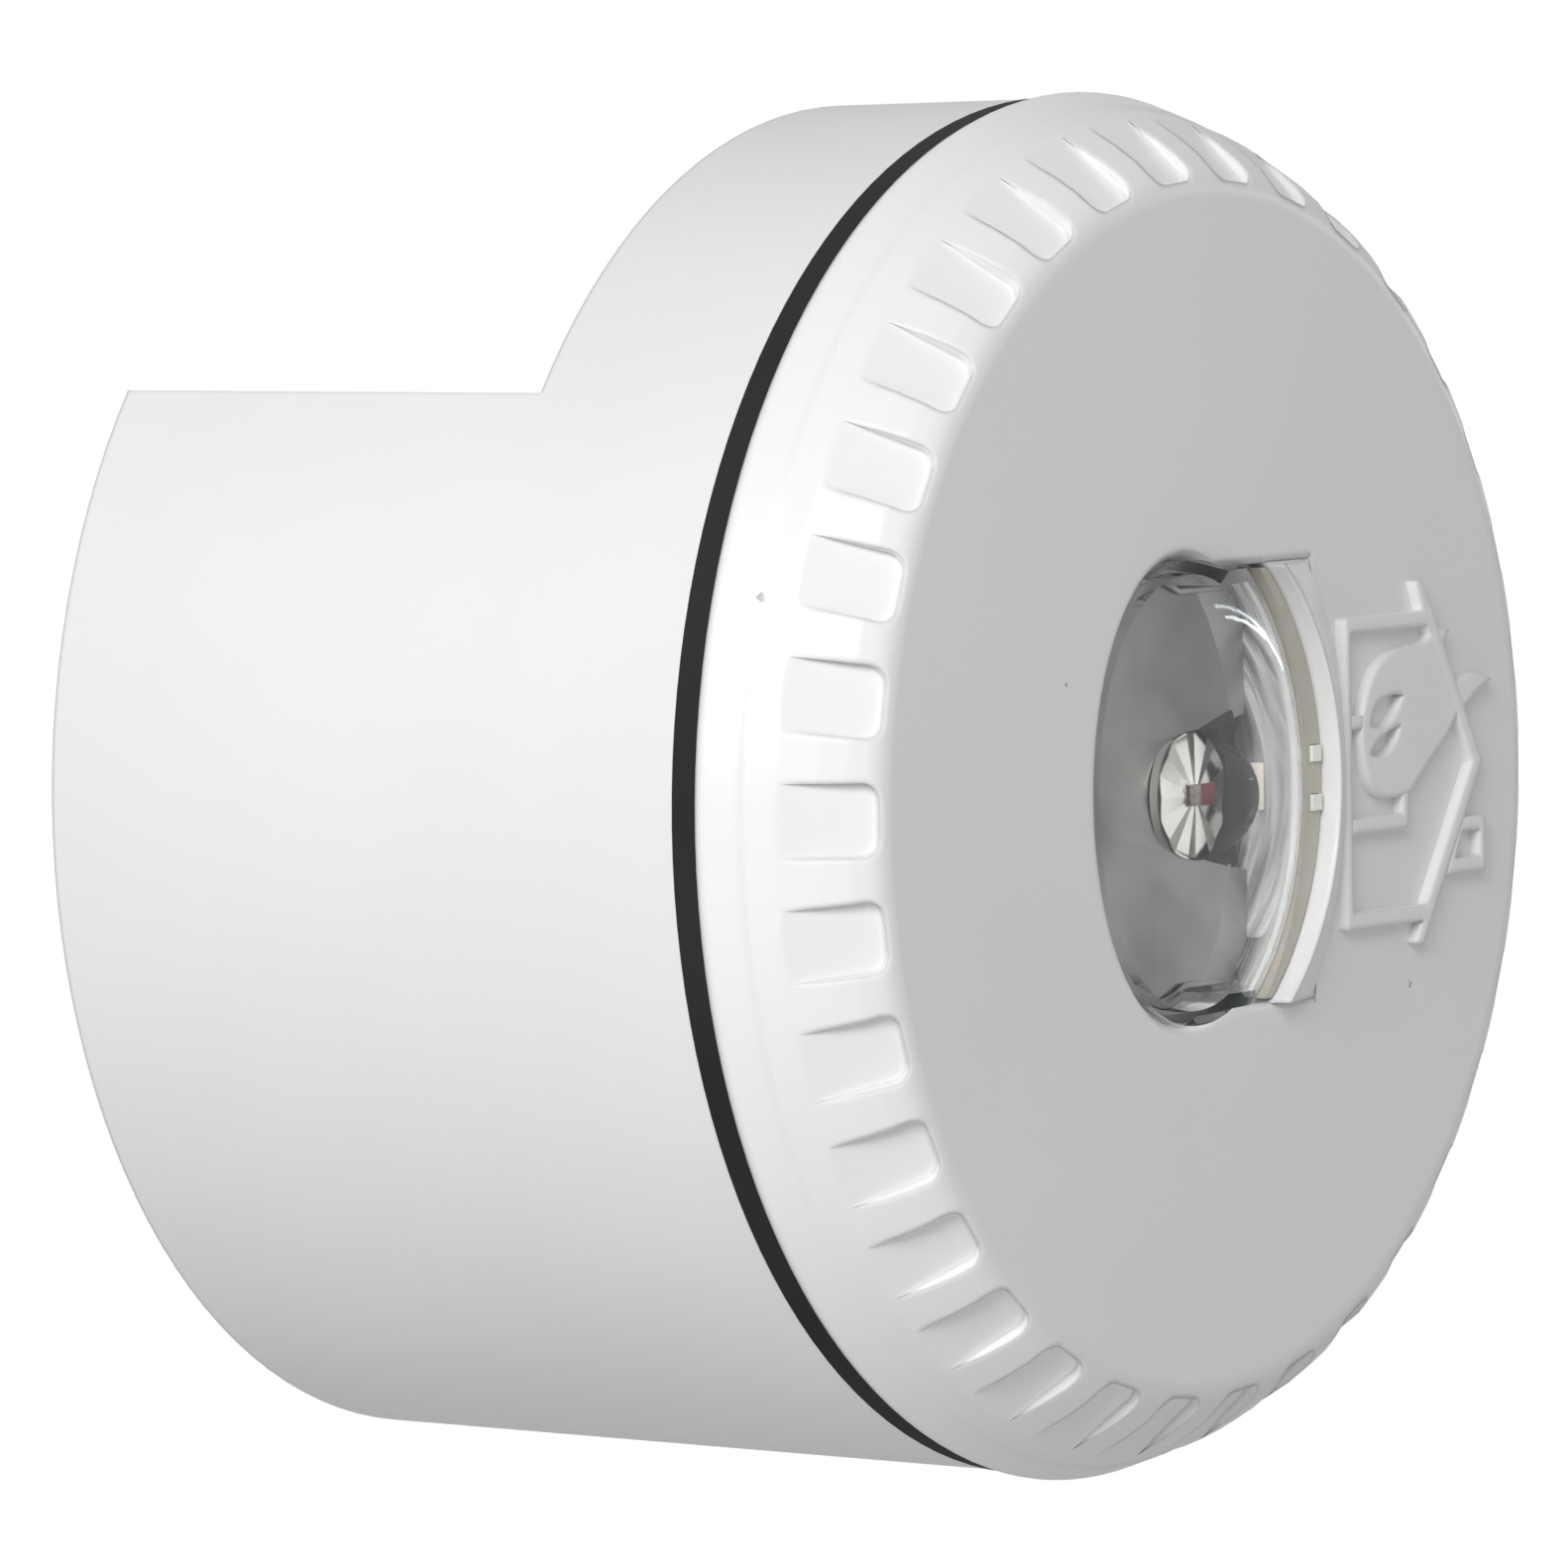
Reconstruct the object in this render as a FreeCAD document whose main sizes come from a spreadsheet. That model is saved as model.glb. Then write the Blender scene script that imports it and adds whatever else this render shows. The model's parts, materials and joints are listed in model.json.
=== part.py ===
"""Wall-mounted alarm strobe beacon, in millimetres.

A deep round base screws to the wall. Towards the wall its top is cut flat, for conduit. A black gasket lies on its
rim, and the head twists on to the base with three bayonet lugs. The head is one white cover with a ring of grip
recesses. Its window holds a clear domed lens over a satin reflector and the light source, and a raised lip curves
round one side of the lens.

Every piece is drawn lying on its back: x to the right, y up and z away from the wall, which is z = 0. The last step
stands it up, so that the wall face is y = 0, the front faces -Y and +Z is up.
"""
import FreeCAD
import Part
import Sketcher
import math
import os

from FreeCAD import Placement, Rotation, Vector

# Driving sizes: name, value in mm or degrees, meaning
SIZES = [
    ("base_front_radius", 50.0, "outside of the base at its rim"),
    ("base_draft", 1.27, "how much less it measures at the wall"),
    ("base_wall", 2.6, "side wall and step wall"),
    ("base_floor", 3.0, "wall at the back"),
    ("flat_height", 27.0, "the top flat, above the axis"),
    ("flat_depth", 36.93, "how far the flat runs forward"),
    ("full_ring_depth", 17.7, "round part of the base, step to rim"),
    ("knockout_radius", 10.2, "M20 conduit knock-out in the flat"),
    ("knockout_spacing", 38.0, "centre to centre"),
    ("knockout_depth", 18.0, "centre, from the wall"),
    ("knockout_groove", 1.2, "width of the groove round a knock-out"),
    ("knockout_skin", 0.8, "what the groove leaves"),
    ("fixing_circle_radius", 30.0, "wall screws, from the axis"),
    ("fixing_hole_radius", 2.25, "hole for a wall screw"),
    ("fixing_pad_radius", 5.0, "raised pad round a wall screw"),
    ("fixing_pad_height", 1.2, "above the base floor"),
    ("cable_hole_radius", 9.0, "cable entry in the base floor"),
    ("cable_hole_drop", 14.0, "its centre, below the axis"),
    ("grommet_flange", 2.5, "how far the grommet reaches past the hole"),
    ("grommet_flange_thickness", 1.5, "that flange"),
    ("grommet_wall", 1.5, "side wall of the grommet"),
    ("grommet_sink", 0.3, "rear of the grommet, in front of the wall"),
    ("grommet_skin", 1.2, "membrane that the cable pierces"),
    ("seat_gap", 0.1, "clearance of a piece in its seat"),
    ("post_circle_radius", 36.0, "posts under the terminal plate"),
    ("post_radius", 4.0, "post under the terminal plate"),
    ("plate_depth", 20.0, "rear face of the terminal plate"),
    ("plate_thickness", 2.5, "terminal plate"),
    ("plate_edge", 1.0, "plate outside its posts"),
    ("plate_hole_radius", 6.0, "hole in the plate for the cable"),
    ("plate_hole_drop", 12.0, "its centre, below the axis"),
    ("plate_top_gap", 1.9, "plate below the flat's inside"),
    ("screw_access_radius", 5.0, "hole in the plate over a wall screw"),
    ("screw_shank_radius", 1.4, "thread of the small screws"),
    ("screw_head_radius", 2.7, "pan head"),
    ("screw_head_height", 1.7, "pan head"),
    ("screw_length", 8.0, "under the head"),
    ("thread_gap", 0.05, "hole round a thread"),
    ("board_screw_length", 5.6, "main board screws, under the head"),
    ("screw_slot", 0.8, "driver slot width"),
    ("block_width", 24.0, "terminal block"),
    ("block_height", 12.0, "terminal block, up and down"),
    ("block_depth", 10.0, "terminal block, off the plate"),
    ("block_drop", 25.5, "terminal block centre, below the axis"),
    ("block_ways", 4, "number of terminals"),
    ("terminal_screw_radius", 1.8, "terminal screw head"),
    ("terminal_well", 2.4, "terminal screw heads sit this deep"),
    ("terminal_screw_height", 1.6, "terminal screw head"),
    ("wire_hole", 3.4, "wire entry, square"),
    ("contact_circle_radius", 18.0, "middle of the contact blades"),
    ("blade_thickness", 0.8, "contact blade"),
    ("blade_half_angle", 9.0, "half of the arc that a blade covers"),
    ("clip_half_angle", 7.0, "half of the arc that a clip covers"),
    ("clip_gap", 0.35, "between blade and clip"),
    ("clip_leaf", 0.8, "clip leaf thickness"),
    ("clip_depth", 14.0, "clip height off the plate"),
    ("clip_base", 3.0, "solid foot of the clip"),
    ("blade_engagement", 6.0, "blade inside the clip"),
    ("base_lug_gap", 0.4, "bayonet lugs in the base, outside the skirt of the head"),
    ("base_lug_drop", 4.63, "front face of those lugs, behind the rim"),
    ("base_lug_thickness", 3.0, "front to back"),
    ("base_lug_half_angle", 10.0, "half of the arc of a base lug"),
    ("stop_angle", 4.0, "arc of the stop beside a base lug"),
    ("head_lug_gap", 0.3, "head lug behind base lug"),
    ("head_lug_thickness", 3.1, "front to back"),
    ("head_lug_half_angle", 9.0, "half of the arc of a head lug"),
    ("head_lug_clearance", 0.4, "head lug inside the base wall"),
    ("head_turn", 4.2, "head is this far short of its stop"),
    ("gasket_thickness", 2.04, "black gasket between base and head"),
    ("gasket_proud", 0.1, "gasket outside the rim"),
    ("gasket_width", 4.5, "outside to inside"),
    ("cover_height", 11.58, "gasket to front face"),
    ("cover_rear_proud", 0.25, "cover at the gasket, outside the base rim"),
    ("cover_rim_proud", 0.5, "widest point of the cover, outside the base rim"),
    ("cover_rim_height", 0.6, "gasket to that point"),
    ("cover_band_height", 3.13, "gasket to the front end of the plain band"),
    ("cover_band_set", 0.4, "that end, inside the base rim"),
    ("cover_step", 0.3, "step in front of the band, both ways"),
    ("cover_shoulder_height", 5.53, "gasket to the start of the shoulder"),
    ("cover_shoulder_set", 1.3, "that start, inside the base rim"),
    ("cover_side_drop", 3.32, "rear bend in the shoulder, behind the face"),
    ("cover_side_set", 2.9, "that bend, inside the base rim"),
    ("cover_bend_drop", 1.65, "front bend in the shoulder, behind the face"),
    ("cover_bend_set", 4.1, "that bend, inside the base rim"),
    ("cover_corner_set", 5.75, "where shoulder and face would meet, inside the base rim"),
    ("cover_rounding", 3.0, "rounding between shoulder and face"),
    ("cover_rim_rounding", 0.35, "rounding of the widest edge"),
    ("cover_wall", 2.6, "face thickness"),
    ("cover_side_wall", 2.55, "cover wall at the gasket"),
    ("cover_inner_slope", 6.7, "inside of the cover, gasket to face"),
    ("cover_inner_step", 4.4, "straight part of the inside"),
    ("recess_count", 34, "grip recesses round the cover"),
    ("recess_width", 5.25, "across"),
    ("recess_turn", 0.65, "middle of a recess, above the middle line of the cover"),
    ("recess_front", 3.7, "floor middle to front end, along the slope"),
    ("recess_rear", 5.0, "floor middle to rear end, along the slope"),
    ("recess_corner", 1.3, "corner rounding, in plan"),
    ("recess_place", 1.93, "middle of a recess floor, outside the corner of the face"),
    ("recess_drop", 3.32, "middle of a recess floor, behind the face"),
    ("recess_tilt", 46.8, "slope of a recess floor"),
    ("window_middle", -3.7, "centre of the window's round side"),
    ("window_round_width", 12.1, "round side, half width"),
    ("window_round_height", 17.05, "round side, half height"),
    ("window_half_height", 16.05, "straight sides of the window"),
    ("lip_middle", -5.0, "centre of the lip's arc"),
    ("lip_radius", 20.7, "inner face and crest of the lip"),
    ("lip_height", 1.5, "crest above the face"),
    ("lip_foot_radius", 24.3, "where the lip's ramp meets the face"),
    ("corner_pocket_end", 14.1, "shallow pockets beside the lip's ends"),
    ("corner_pocket_depth", 0.5, "below the face"),
    ("window_bevel", 0.45, "bevel round the window"),
    ("lens_gap", 0.2, "lens in the window"),
    ("lens_wall", 1.2, "side wall and dome of the lens"),
    ("lens_flange", 2.0, "flange past the window"),
    ("lens_flange_thickness", 1.6, "flange of the lens"),
    ("lens_seal_thickness", 0.6, "seal in front of the flange"),
    ("lens_plate_thickness", 1.2, "flat part of the lens"),
    ("lens_plate_drop", 1.65, "flat part of the lens, behind the face"),
    ("dome_middle", -1.5, "centre of the dome"),
    ("dome_half_width", 14.55, "across the dome"),
    ("dome_half_height", 19.3, "up and down the dome"),
    ("dome_rise", 5.6, "dome, from its widest plane to its crest"),
    ("dome_drop", 1.85, "widest plane of the dome, behind the face"),
    ("clamp_radius", 26.0, "ring that clamps the lens flange"),
    ("clamp_thickness", 1.6, "that ring"),
    ("clamp_screw_circle", 23.5, "clamp screws, from the axis"),
    ("clamp_boss_radius", 2.4, "boss for a clamp screw"),
    ("clamp_screw_radius", 0.9, "shank of a clamp screw"),
    ("clamp_screw_head_radius", 1.7, "head of a clamp screw"),
    ("clamp_screw_head_height", 1.1, "head of a clamp screw"),
    ("clamp_screw_length", 4.4, "under the head"),
    ("bar_gap", 0.25, "indicator bar beside the dome"),
    ("bar_half_height", 15.7, "indicator bar, up and down"),
    ("bar_drop", 0.2, "front of the bar, behind the face"),
    ("bar_window", 1.2, "side of an indicator window"),
    ("bar_window_spacing", 3.6, "between the two indicator windows"),
    ("bar_window_place", 14.6, "indicator windows, from the axis"),
    ("bar_window_proud", 0.25, "windows stand out of the bar"),
    ("reflector_gap", 0.3, "reflector inside the lens"),
    ("reflector_drop", 2.65, "rim of the reflector, behind the face"),
    ("bowl_middle", -4.0, "centre of the bowl"),
    ("bowl_half_width", 15.0, "across the ellipsoid that hollows the bowl"),
    ("bowl_half_height", 23.0, "up and down that ellipsoid"),
    ("bowl_half_depth", 5.9, "front to back of that ellipsoid"),
    ("bowl_lift", 4.0, "its centre, in front of the rim"),
    ("bore_gap", 0.1, "reflector round the light source"),
    ("well_radius", 5.6, "well between light source and side prism"),
    ("prism_gap", 0.3, "side prism beside the light source"),
    ("prism_drop", 3.7, "rear of the side prism, behind the face"),
    ("prism_seat_gap", 0.1, "reflector beside the side prism"),
    ("prism_half_height", 14.0, "side prism, up and down"),
    ("led_place", 3.7, "light source, beside the axis"),
    ("led_low", 0.7, "light source, below the axis"),
    ("led_drop", 4.05, "flat side of the light source's dome, behind the face"),
    ("led_dome_radius", 4.6, "clear dome of the light source"),
    ("led_carrier_side", 6.1, "square under that dome"),
    ("led_carrier_thickness", 1.2, "that square"),
    ("led_board_radius", 4.3, "metal board under the light source"),
    ("led_board_thickness", 1.6, "that board"),
    ("led_pin_radius", 0.45, "pin from main board to light source"),
    ("led_pin_gap", 0.45, "hole round a pin"),
    ("led_pin_spacing", 5.6, "between the two pins"),
    ("spreader_radius", 13.0, "aluminium heat spreader"),
    ("spreader_thickness", 2.4, "its disc"),
    ("spreader_drop", 9.35, "front of its disc, behind the face"),
    ("spacer_radius", 2.2, "spacers under the heat spreader"),
    ("spacer_circle", 9.6, "spacers, from the axis"),
    ("chassis_floor", 2.5, "rear wall of the head"),
    ("chassis_reach", 11.63, "rear face of the head, behind the rim of the base"),
    ("skirt_gap", 3.1, "skirt that enters the base, inside its wall"),
    ("skirt_wall", 2.5, "that skirt"),
    ("chassis_rim_gap", 0.4, "flange of the chassis inside the cover"),
    ("chassis_rim_thickness", 2.5, "that flange"),
    ("chassis_rim_lift", 0.33, "that flange off the gasket"),
    ("blade_slot_gap", 0.4, "slot round a contact blade"),
    ("pillar_inset", 5.8, "pillars inside the cover, from the skirt"),
    ("pillar_radius", 3.2, "pillar"),
    ("board_gap", 1.3, "main board inside the skirt"),
    ("board_thickness", 1.6, "main board"),
    ("board_post_height", 4.5, "posts under the main board"),
    ("board_post_inset", 7.8, "those posts, from the skirt"),
    ("board_hole_gap", 0.6, "main board round a pillar"),
    ("can_radius", 5.0, "large capacitor"),
    ("can_height", 8.8, "large capacitor"),
    ("can_inset", 11.3, "large capacitor, from the skirt"),
    ("small_can_radius", 3.5, "small capacitor"),
    ("small_can_height", 7.5, "small capacitor"),
    ("coil_radius", 5.8, "inductor"),
    ("coil_height", 4.6, "inductor"),
    ("chip_length", 8.0, "driver chip"),
    ("chip_width", 6.0, "driver chip"),
    ("chip_height", 1.6, "driver chip"),
    ("part_inset", 6.0, "small capacitor, inductor and chip, from the posts"),
    ("status_led_side", 1.6, "indicator light source on the main board"),
    ("status_led_height", 0.8, "indicator light source on the main board"),
]

# Places of things that repeat round the axis, in degrees
FIXING_ANGLES = (45, 135, 225, 315)
POST_ANGLES = (0, 180, 270)
CONTACT_ANGLES = (30, 150, 210, 330)
LUG_ANGLES = (90, 210, 330)
PILLAR_ANGLES = (30, 150, 270)
BOARD_POST_ANGLES = (90, 210, 330)
SPACER_ANGLES = (100, 180, 260)
CLAMP_ANGLES = (0, 90, 180, 270)
CAN_ANGLE = 180
SMALL_CAN_ANGLE = 60
COIL_ANGLE = 225
CHIP_ANGLE = 315


class Size:
    """A number with the formula that it comes from, so that what is drawn with it stays bound to the sheet."""

    def __init__(self, value, text=None):
        self.value = float(value)
        self.text = text or repr(float(value))

    def join(self, other, sign, value):
        return Size(value, f"({self.text} {sign} {sized(other).text})")

    def __add__(self, other):
        return self.join(other, "+", self.value + sized(other).value)

    def __sub__(self, other):
        return self.join(other, "-", self.value - sized(other).value)

    def __mul__(self, other):
        return self.join(other, "*", self.value * sized(other).value)

    def __truediv__(self, other):
        return self.join(other, "/", self.value / sized(other).value)

    def __neg__(self):
        return Size(-self.value, f"(-1 * {self.text})")


def sized(item):
    return item if isinstance(item, Size) else Size(item)


def polar(radius, angle):
    """The x and y of a place on a circle round the axis."""
    angle = sized(angle)
    turn = math.radians(angle.value)
    across = Size(math.cos(turn), f"cos({angle.text} * 1 deg)")
    up = Size(math.sin(turn), f"sin({angle.text} * 1 deg)")
    return sized(radius) * across, sized(radius) * up


class Sheet:
    """The spreadsheet of driving sizes; each one is read by its name."""

    def __init__(self, rows):
        cells = doc.addObject("Spreadsheet::Sheet", "size")
        for row, (name, value, meaning) in enumerate(rows, 1):
            cells.set(f"A{row}", name)
            cells.set(f"B{row}", str(value))
            cells.set(f"C{row}", meaning)
            cells.setAlias(f"B{row}", name)
            setattr(self, name, Size(value, f"size.{name}"))


doc = FreeCAD.newDocument("beacon")
s = Sheet(SIZES)
ZERO = Size(0)

# Planes, as distances from the wall
RIM = s.flat_depth + s.full_ring_depth
HEAD = RIM + s.gasket_thickness
FACE = HEAD + s.cover_height
FACE_BACK = FACE - s.cover_wall
PLATE_FRONT = s.plate_depth + s.plate_thickness
CLIP_FRONT = PLATE_FRONT + s.clip_depth
CHASSIS_BACK = RIM - s.chassis_reach
CHASSIS_FLOOR = CHASSIS_BACK + s.chassis_floor
CHASSIS_RIM = HEAD + s.chassis_rim_lift + s.chassis_rim_thickness
BOARD_BACK = CHASSIS_FLOOR + s.board_post_height
BOARD_FRONT = BOARD_BACK + s.board_thickness
SPREADER_FRONT = FACE - s.spreader_drop
SPREADER_BACK = SPREADER_FRONT - s.spreader_thickness
LED_BASE = FACE - s.led_drop
CARRIER_BACK = LED_BASE - s.led_carrier_thickness
LED_BOARD_BACK = CARRIER_BACK - s.led_board_thickness
FLANGE_FRONT = FACE_BACK - s.lens_seal_thickness
FLANGE_BACK = FLANGE_FRONT - s.lens_flange_thickness
CLAMP_BACK = FLANGE_BACK - s.clamp_thickness
LENS_PLATE = FACE - s.lens_plate_drop
DOME_PLANE = FACE - s.dome_drop
LENS_CREST = DOME_PLANE + s.dome_rise
BAR_FRONT = FACE - s.bar_drop
REFLECTOR_FRONT = FACE - s.reflector_drop
PRISM_BACK = FACE - s.prism_drop
BASE_LUG_FRONT = RIM - s.base_lug_drop
BASE_LUG_BACK = BASE_LUG_FRONT - s.base_lug_thickness
HEAD_LUG_FRONT = BASE_LUG_BACK - s.head_lug_gap
HEAD_LUG_BACK = HEAD_LUG_FRONT - s.head_lug_thickness

# Radii that follow from others
BASE_REAR_RADIUS = s.base_front_radius - s.base_draft
BASE_FLARE = s.base_draft / RIM
HEAD_LUG_OUTER = BASE_REAR_RADIUS + BASE_FLARE * HEAD_LUG_BACK - s.base_wall - s.head_lug_clearance
SKIRT_OUTER = s.base_front_radius - s.base_wall - s.skirt_gap
SKIRT_INNER = SKIRT_OUTER - s.skirt_wall
BASE_LUG_INNER = SKIRT_OUTER + s.base_lug_gap
GASKET_RADIUS = s.base_front_radius + s.gasket_proud
COVER_REAR_RADIUS = s.base_front_radius + s.cover_rear_proud
COVER_RIM_RADIUS = s.base_front_radius + s.cover_rim_proud
COVER_CORNER_RADIUS = s.base_front_radius - s.cover_corner_set
COVER_INNER_RADIUS = COVER_REAR_RADIUS - s.cover_side_wall
CHASSIS_RIM_RADIUS = COVER_INNER_RADIUS - s.chassis_rim_gap
PILLAR_CIRCLE = SKIRT_INNER - s.pillar_inset
BOARD_RADIUS = SKIRT_INNER - s.board_gap
BOARD_POST_CIRCLE = SKIRT_INNER - s.board_post_inset
PART_CIRCLE = BOARD_POST_CIRCLE - s.part_inset
CAN_PLACE = SKIRT_INNER - s.can_inset
PLATE_RADIUS = s.post_circle_radius + s.post_radius + s.plate_edge
LED_SPOT = (s.led_place, -s.led_low)
PRISM_LEFT = s.led_place + s.led_dome_radius + s.prism_gap
PILOT = s.screw_shank_radius + s.thread_gap
BLADE_INNER = s.contact_circle_radius - s.blade_thickness / 2
BLADE_OUTER = s.contact_circle_radius + s.blade_thickness / 2

STAND = Placement(Vector(0, 0, 0), Rotation(Vector(1, 0, 0), 90))
TURNED = STAND * Placement(Vector(0, 0, 0), Rotation(Vector(0, 0, 1), s.head_turn.value))
PIECES = []


def bind(thing, **sizes):
    for path, size in sizes.items():
        thing.setExpression(path.replace("__", "."), sized(size).text)
    return thing


def put(thing, x, y, z):
    return bind(thing, Placement__Base__x=x, Placement__Base__y=y, Placement__Base__z=z)


# Solids that the pieces are made of
def disc(radius, low, high, x=ZERO, y=ZERO):
    thing = bind(doc.addObject("Part::Cylinder", "disc"), Radius=radius, Height=high - low)
    return put(thing, x, y, low)


def cone(low_radius, high_radius, low, high, x=ZERO, y=ZERO):
    thing = doc.addObject("Part::Cone", "cone")
    bind(thing, Radius1=low_radius, Radius2=high_radius, Height=high - low)
    return put(thing, x, y, low)


def upright(radius, low, high, x, z):
    """A cylinder whose axis runs up the page."""
    thing = bind(doc.addObject("Part::Cylinder", "upright"), Radius=radius, Height=high - low)
    thing.Placement.Rotation = Rotation(Vector(1, 0, 0), -90)
    return put(thing, x, low, z)


def block(left, right, bottom, top, low, high):
    thing = doc.addObject("Part::Box", "block")
    bind(thing, Length=sized(right) - left, Width=sized(top) - bottom, Height=high - low)
    return put(thing, left, bottom, low)


def brick(width, height, low, high, x, y, turn=0):
    """A block round a centre, turned about it."""
    thing = bind(doc.addObject("Part::Box", "brick"), Length=width, Width=height, Height=high - low)
    thing.Placement.Rotation = Rotation(Vector(0, 0, 1), turn)
    across = polar(width / 2, turn)
    up = polar(height / 2, turn + 90)
    return put(thing, x - across[0] - up[0], y - across[1] - up[1], low)


def sector(inner, outer, low, high, middle, half_angle):
    """A piece of a ring round the axis."""
    wedge = doc.addObject("Part::Cylinder", "sector")
    bind(wedge, Radius=outer, Height=high - low, Angle=sized(half_angle) * 2)
    bind(wedge, Placement__Rotation__Angle=sized(middle) + 360 - half_angle)
    put(wedge, ZERO, ZERO, low)
    return cut(wedge, disc(inner, low, high))


def oval(half_width, half_height, low, high, x):
    """A cylinder whose section is an ellipse, taller than it is wide."""
    edge = bind(doc.addObject("Part::Ellipse", "ellipse"), MajorRadius=half_height, MinorRadius=half_width)
    edge.Placement.Rotation = Rotation(Vector(0, 0, 1), 90)
    put(edge, x, ZERO, low)
    thing = doc.addObject("Part::Extrusion", "oval")
    thing.Base = edge
    thing.DirMode = "Custom"
    thing.Dir = Vector(0, 0, 1)
    thing.Solid = True
    return bind(thing, LengthFwd=high - low)


def ellipsoid(half_width, half_height, rise, x, z):
    thing = doc.addObject("Part::Ellipsoid", "ellipsoid")
    bind(thing, Radius1=rise, Radius2=half_width, Radius3=half_height)
    return put(thing, x, ZERO, z)


# Ways to join them
def fuse(*things):
    joined = doc.addObject("Part::MultiFuse", "fuse")
    joined.Shapes = list(things)
    joined.Refine = True
    return joined


def common(first, second):
    shared = doc.addObject("Part::Common", "common")
    shared.Base, shared.Tool = first, second
    shared.Refine = True
    return shared


def cut(first, *tools):
    left = doc.addObject("Part::Cut", "cut")
    left.Base = first
    left.Tool = tools[0] if len(tools) == 1 else fuse(*tools)
    left.Refine = True
    return left


def group(things):
    """Separate solids that share one node."""
    together = doc.addObject("Part::Compound", "group")
    together.Links = list(things)
    return together


def piece(thing, label, place):
    """Names a finished piece and stands it up."""
    if thing.TypeId not in ("PartDesign::Body", "Part::Compound"):
        thing = group([thing])
    thing.Label = label
    thing.Placement = place
    PIECES.append(thing)


def screws(label, places, seat, facing, place, shank=s.screw_shank_radius, head=s.screw_head_radius,
           head_height=s.screw_head_height, length=s.screw_length):
    """Pan-head screws; facing is 1 where the head looks to the front and -1 where it looks to the wall."""
    made = []
    for x, y in places:
        if facing > 0:
            top, crown = disc(head, seat, seat + head_height, x, y), seat + head_height
            slot = brick(head * 3, s.screw_slot, crown - head_height / 2, crown, x, y)
            thread = disc(shank, seat - length, seat, x, y)
        else:
            top, crown = disc(head, seat - head_height, seat, x, y), seat - head_height
            slot = brick(head * 3, s.screw_slot, crown, crown + head_height / 2, x, y)
            thread = disc(shank, seat, seat + length, x, y)
        made.append(fuse(cut(top, slot), thread))
    piece(group(made), label, place)


# Sketches
def sketch(body, role, name):
    """A sketch on one of the body's own origin planes."""
    drawing = body.newObject("Sketcher::SketchObject", name)
    plane = next(item for item in body.Origin.OriginFeatures if item.Role == role)
    drawing.AttachmentSupport = [(plane, "")]
    drawing.MapMode = "FlatFace"
    return drawing


def hold(drawing, kind, *where, size):
    """One dimension of a sketch, bound to the sheet."""
    row = drawing.addConstraint(Sketcher.Constraint(kind, *where, size.value))
    drawing.setExpression(f"Constraints[{row}]", size.text)


def pin(drawing, index, point, x, y):
    """Holds a point of the sketch at its distances from the origin."""
    for kind, axis, size in (("DistanceX", -2, x), ("DistanceY", -1, y)):
        if abs(size.value) < 1e-9:
            drawing.addConstraint(Sketcher.Constraint("PointOnObject", index, point, axis))
        elif size.value > 0:
            hold(drawing, kind, -1, 1, index, point, size=size)
        else:
            hold(drawing, kind, index, point, -1, 1, size=-size)


def outline(drawing, corners):
    """A closed outline of straight lines, held at its corners."""
    spots = [Vector(x.value, y.value, 0) for x, y in corners]
    for index, spot in enumerate(spots):
        drawing.addGeometry(Part.LineSegment(spot, spots[(index + 1) % len(spots)]))
    for index, (x, y) in enumerate(corners):
        before = (index - 1) % len(spots)
        drawing.addConstraint(Sketcher.Constraint("Coincident", before, 2, index, 1))
        pin(drawing, index, 1, x, y)


def circles(drawing, *rings):
    """Circles, each held by its centre and its radius."""
    for radius, x, y in rings:
        index = drawing.addGeometry(Part.Circle(Vector(x.value, y.value, 0), Vector(0, 0, 1), radius.value))
        pin(drawing, index, 3, x, y)
        hold(drawing, "Radius", index, size=radius)


def turned_body(name, corners):
    """A body turned on a lathe from an outline given as radius and distance from the wall."""
    body = doc.addObject("PartDesign::Body", name)
    drawing = sketch(body, "XZ_Plane", name + "_outline")
    outline(drawing, corners)
    turning = body.newObject("PartDesign::Revolution", name + "_turning")
    turning.Profile = drawing
    turning.ReferenceAxis = (drawing, ["V_Axis"])
    turning.Angle = 360
    drawing.Visibility = False
    doc.recompute()
    return body, turning


def flat_body(name, low, thickness, *rings):
    """A plate with round holes: the first circle is its edge."""
    body = doc.addObject("PartDesign::Body", name)
    drawing = sketch(body, "XY_Plane", name + "_outline")
    drawing.setExpression("AttachmentOffset.Base.z", low.text)
    circles(drawing, *rings)
    pad = body.newObject("PartDesign::Pad", name + "_pad")
    pad.Profile = drawing
    bind(pad, Length=thickness)
    doc.recompute()
    return body


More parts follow.
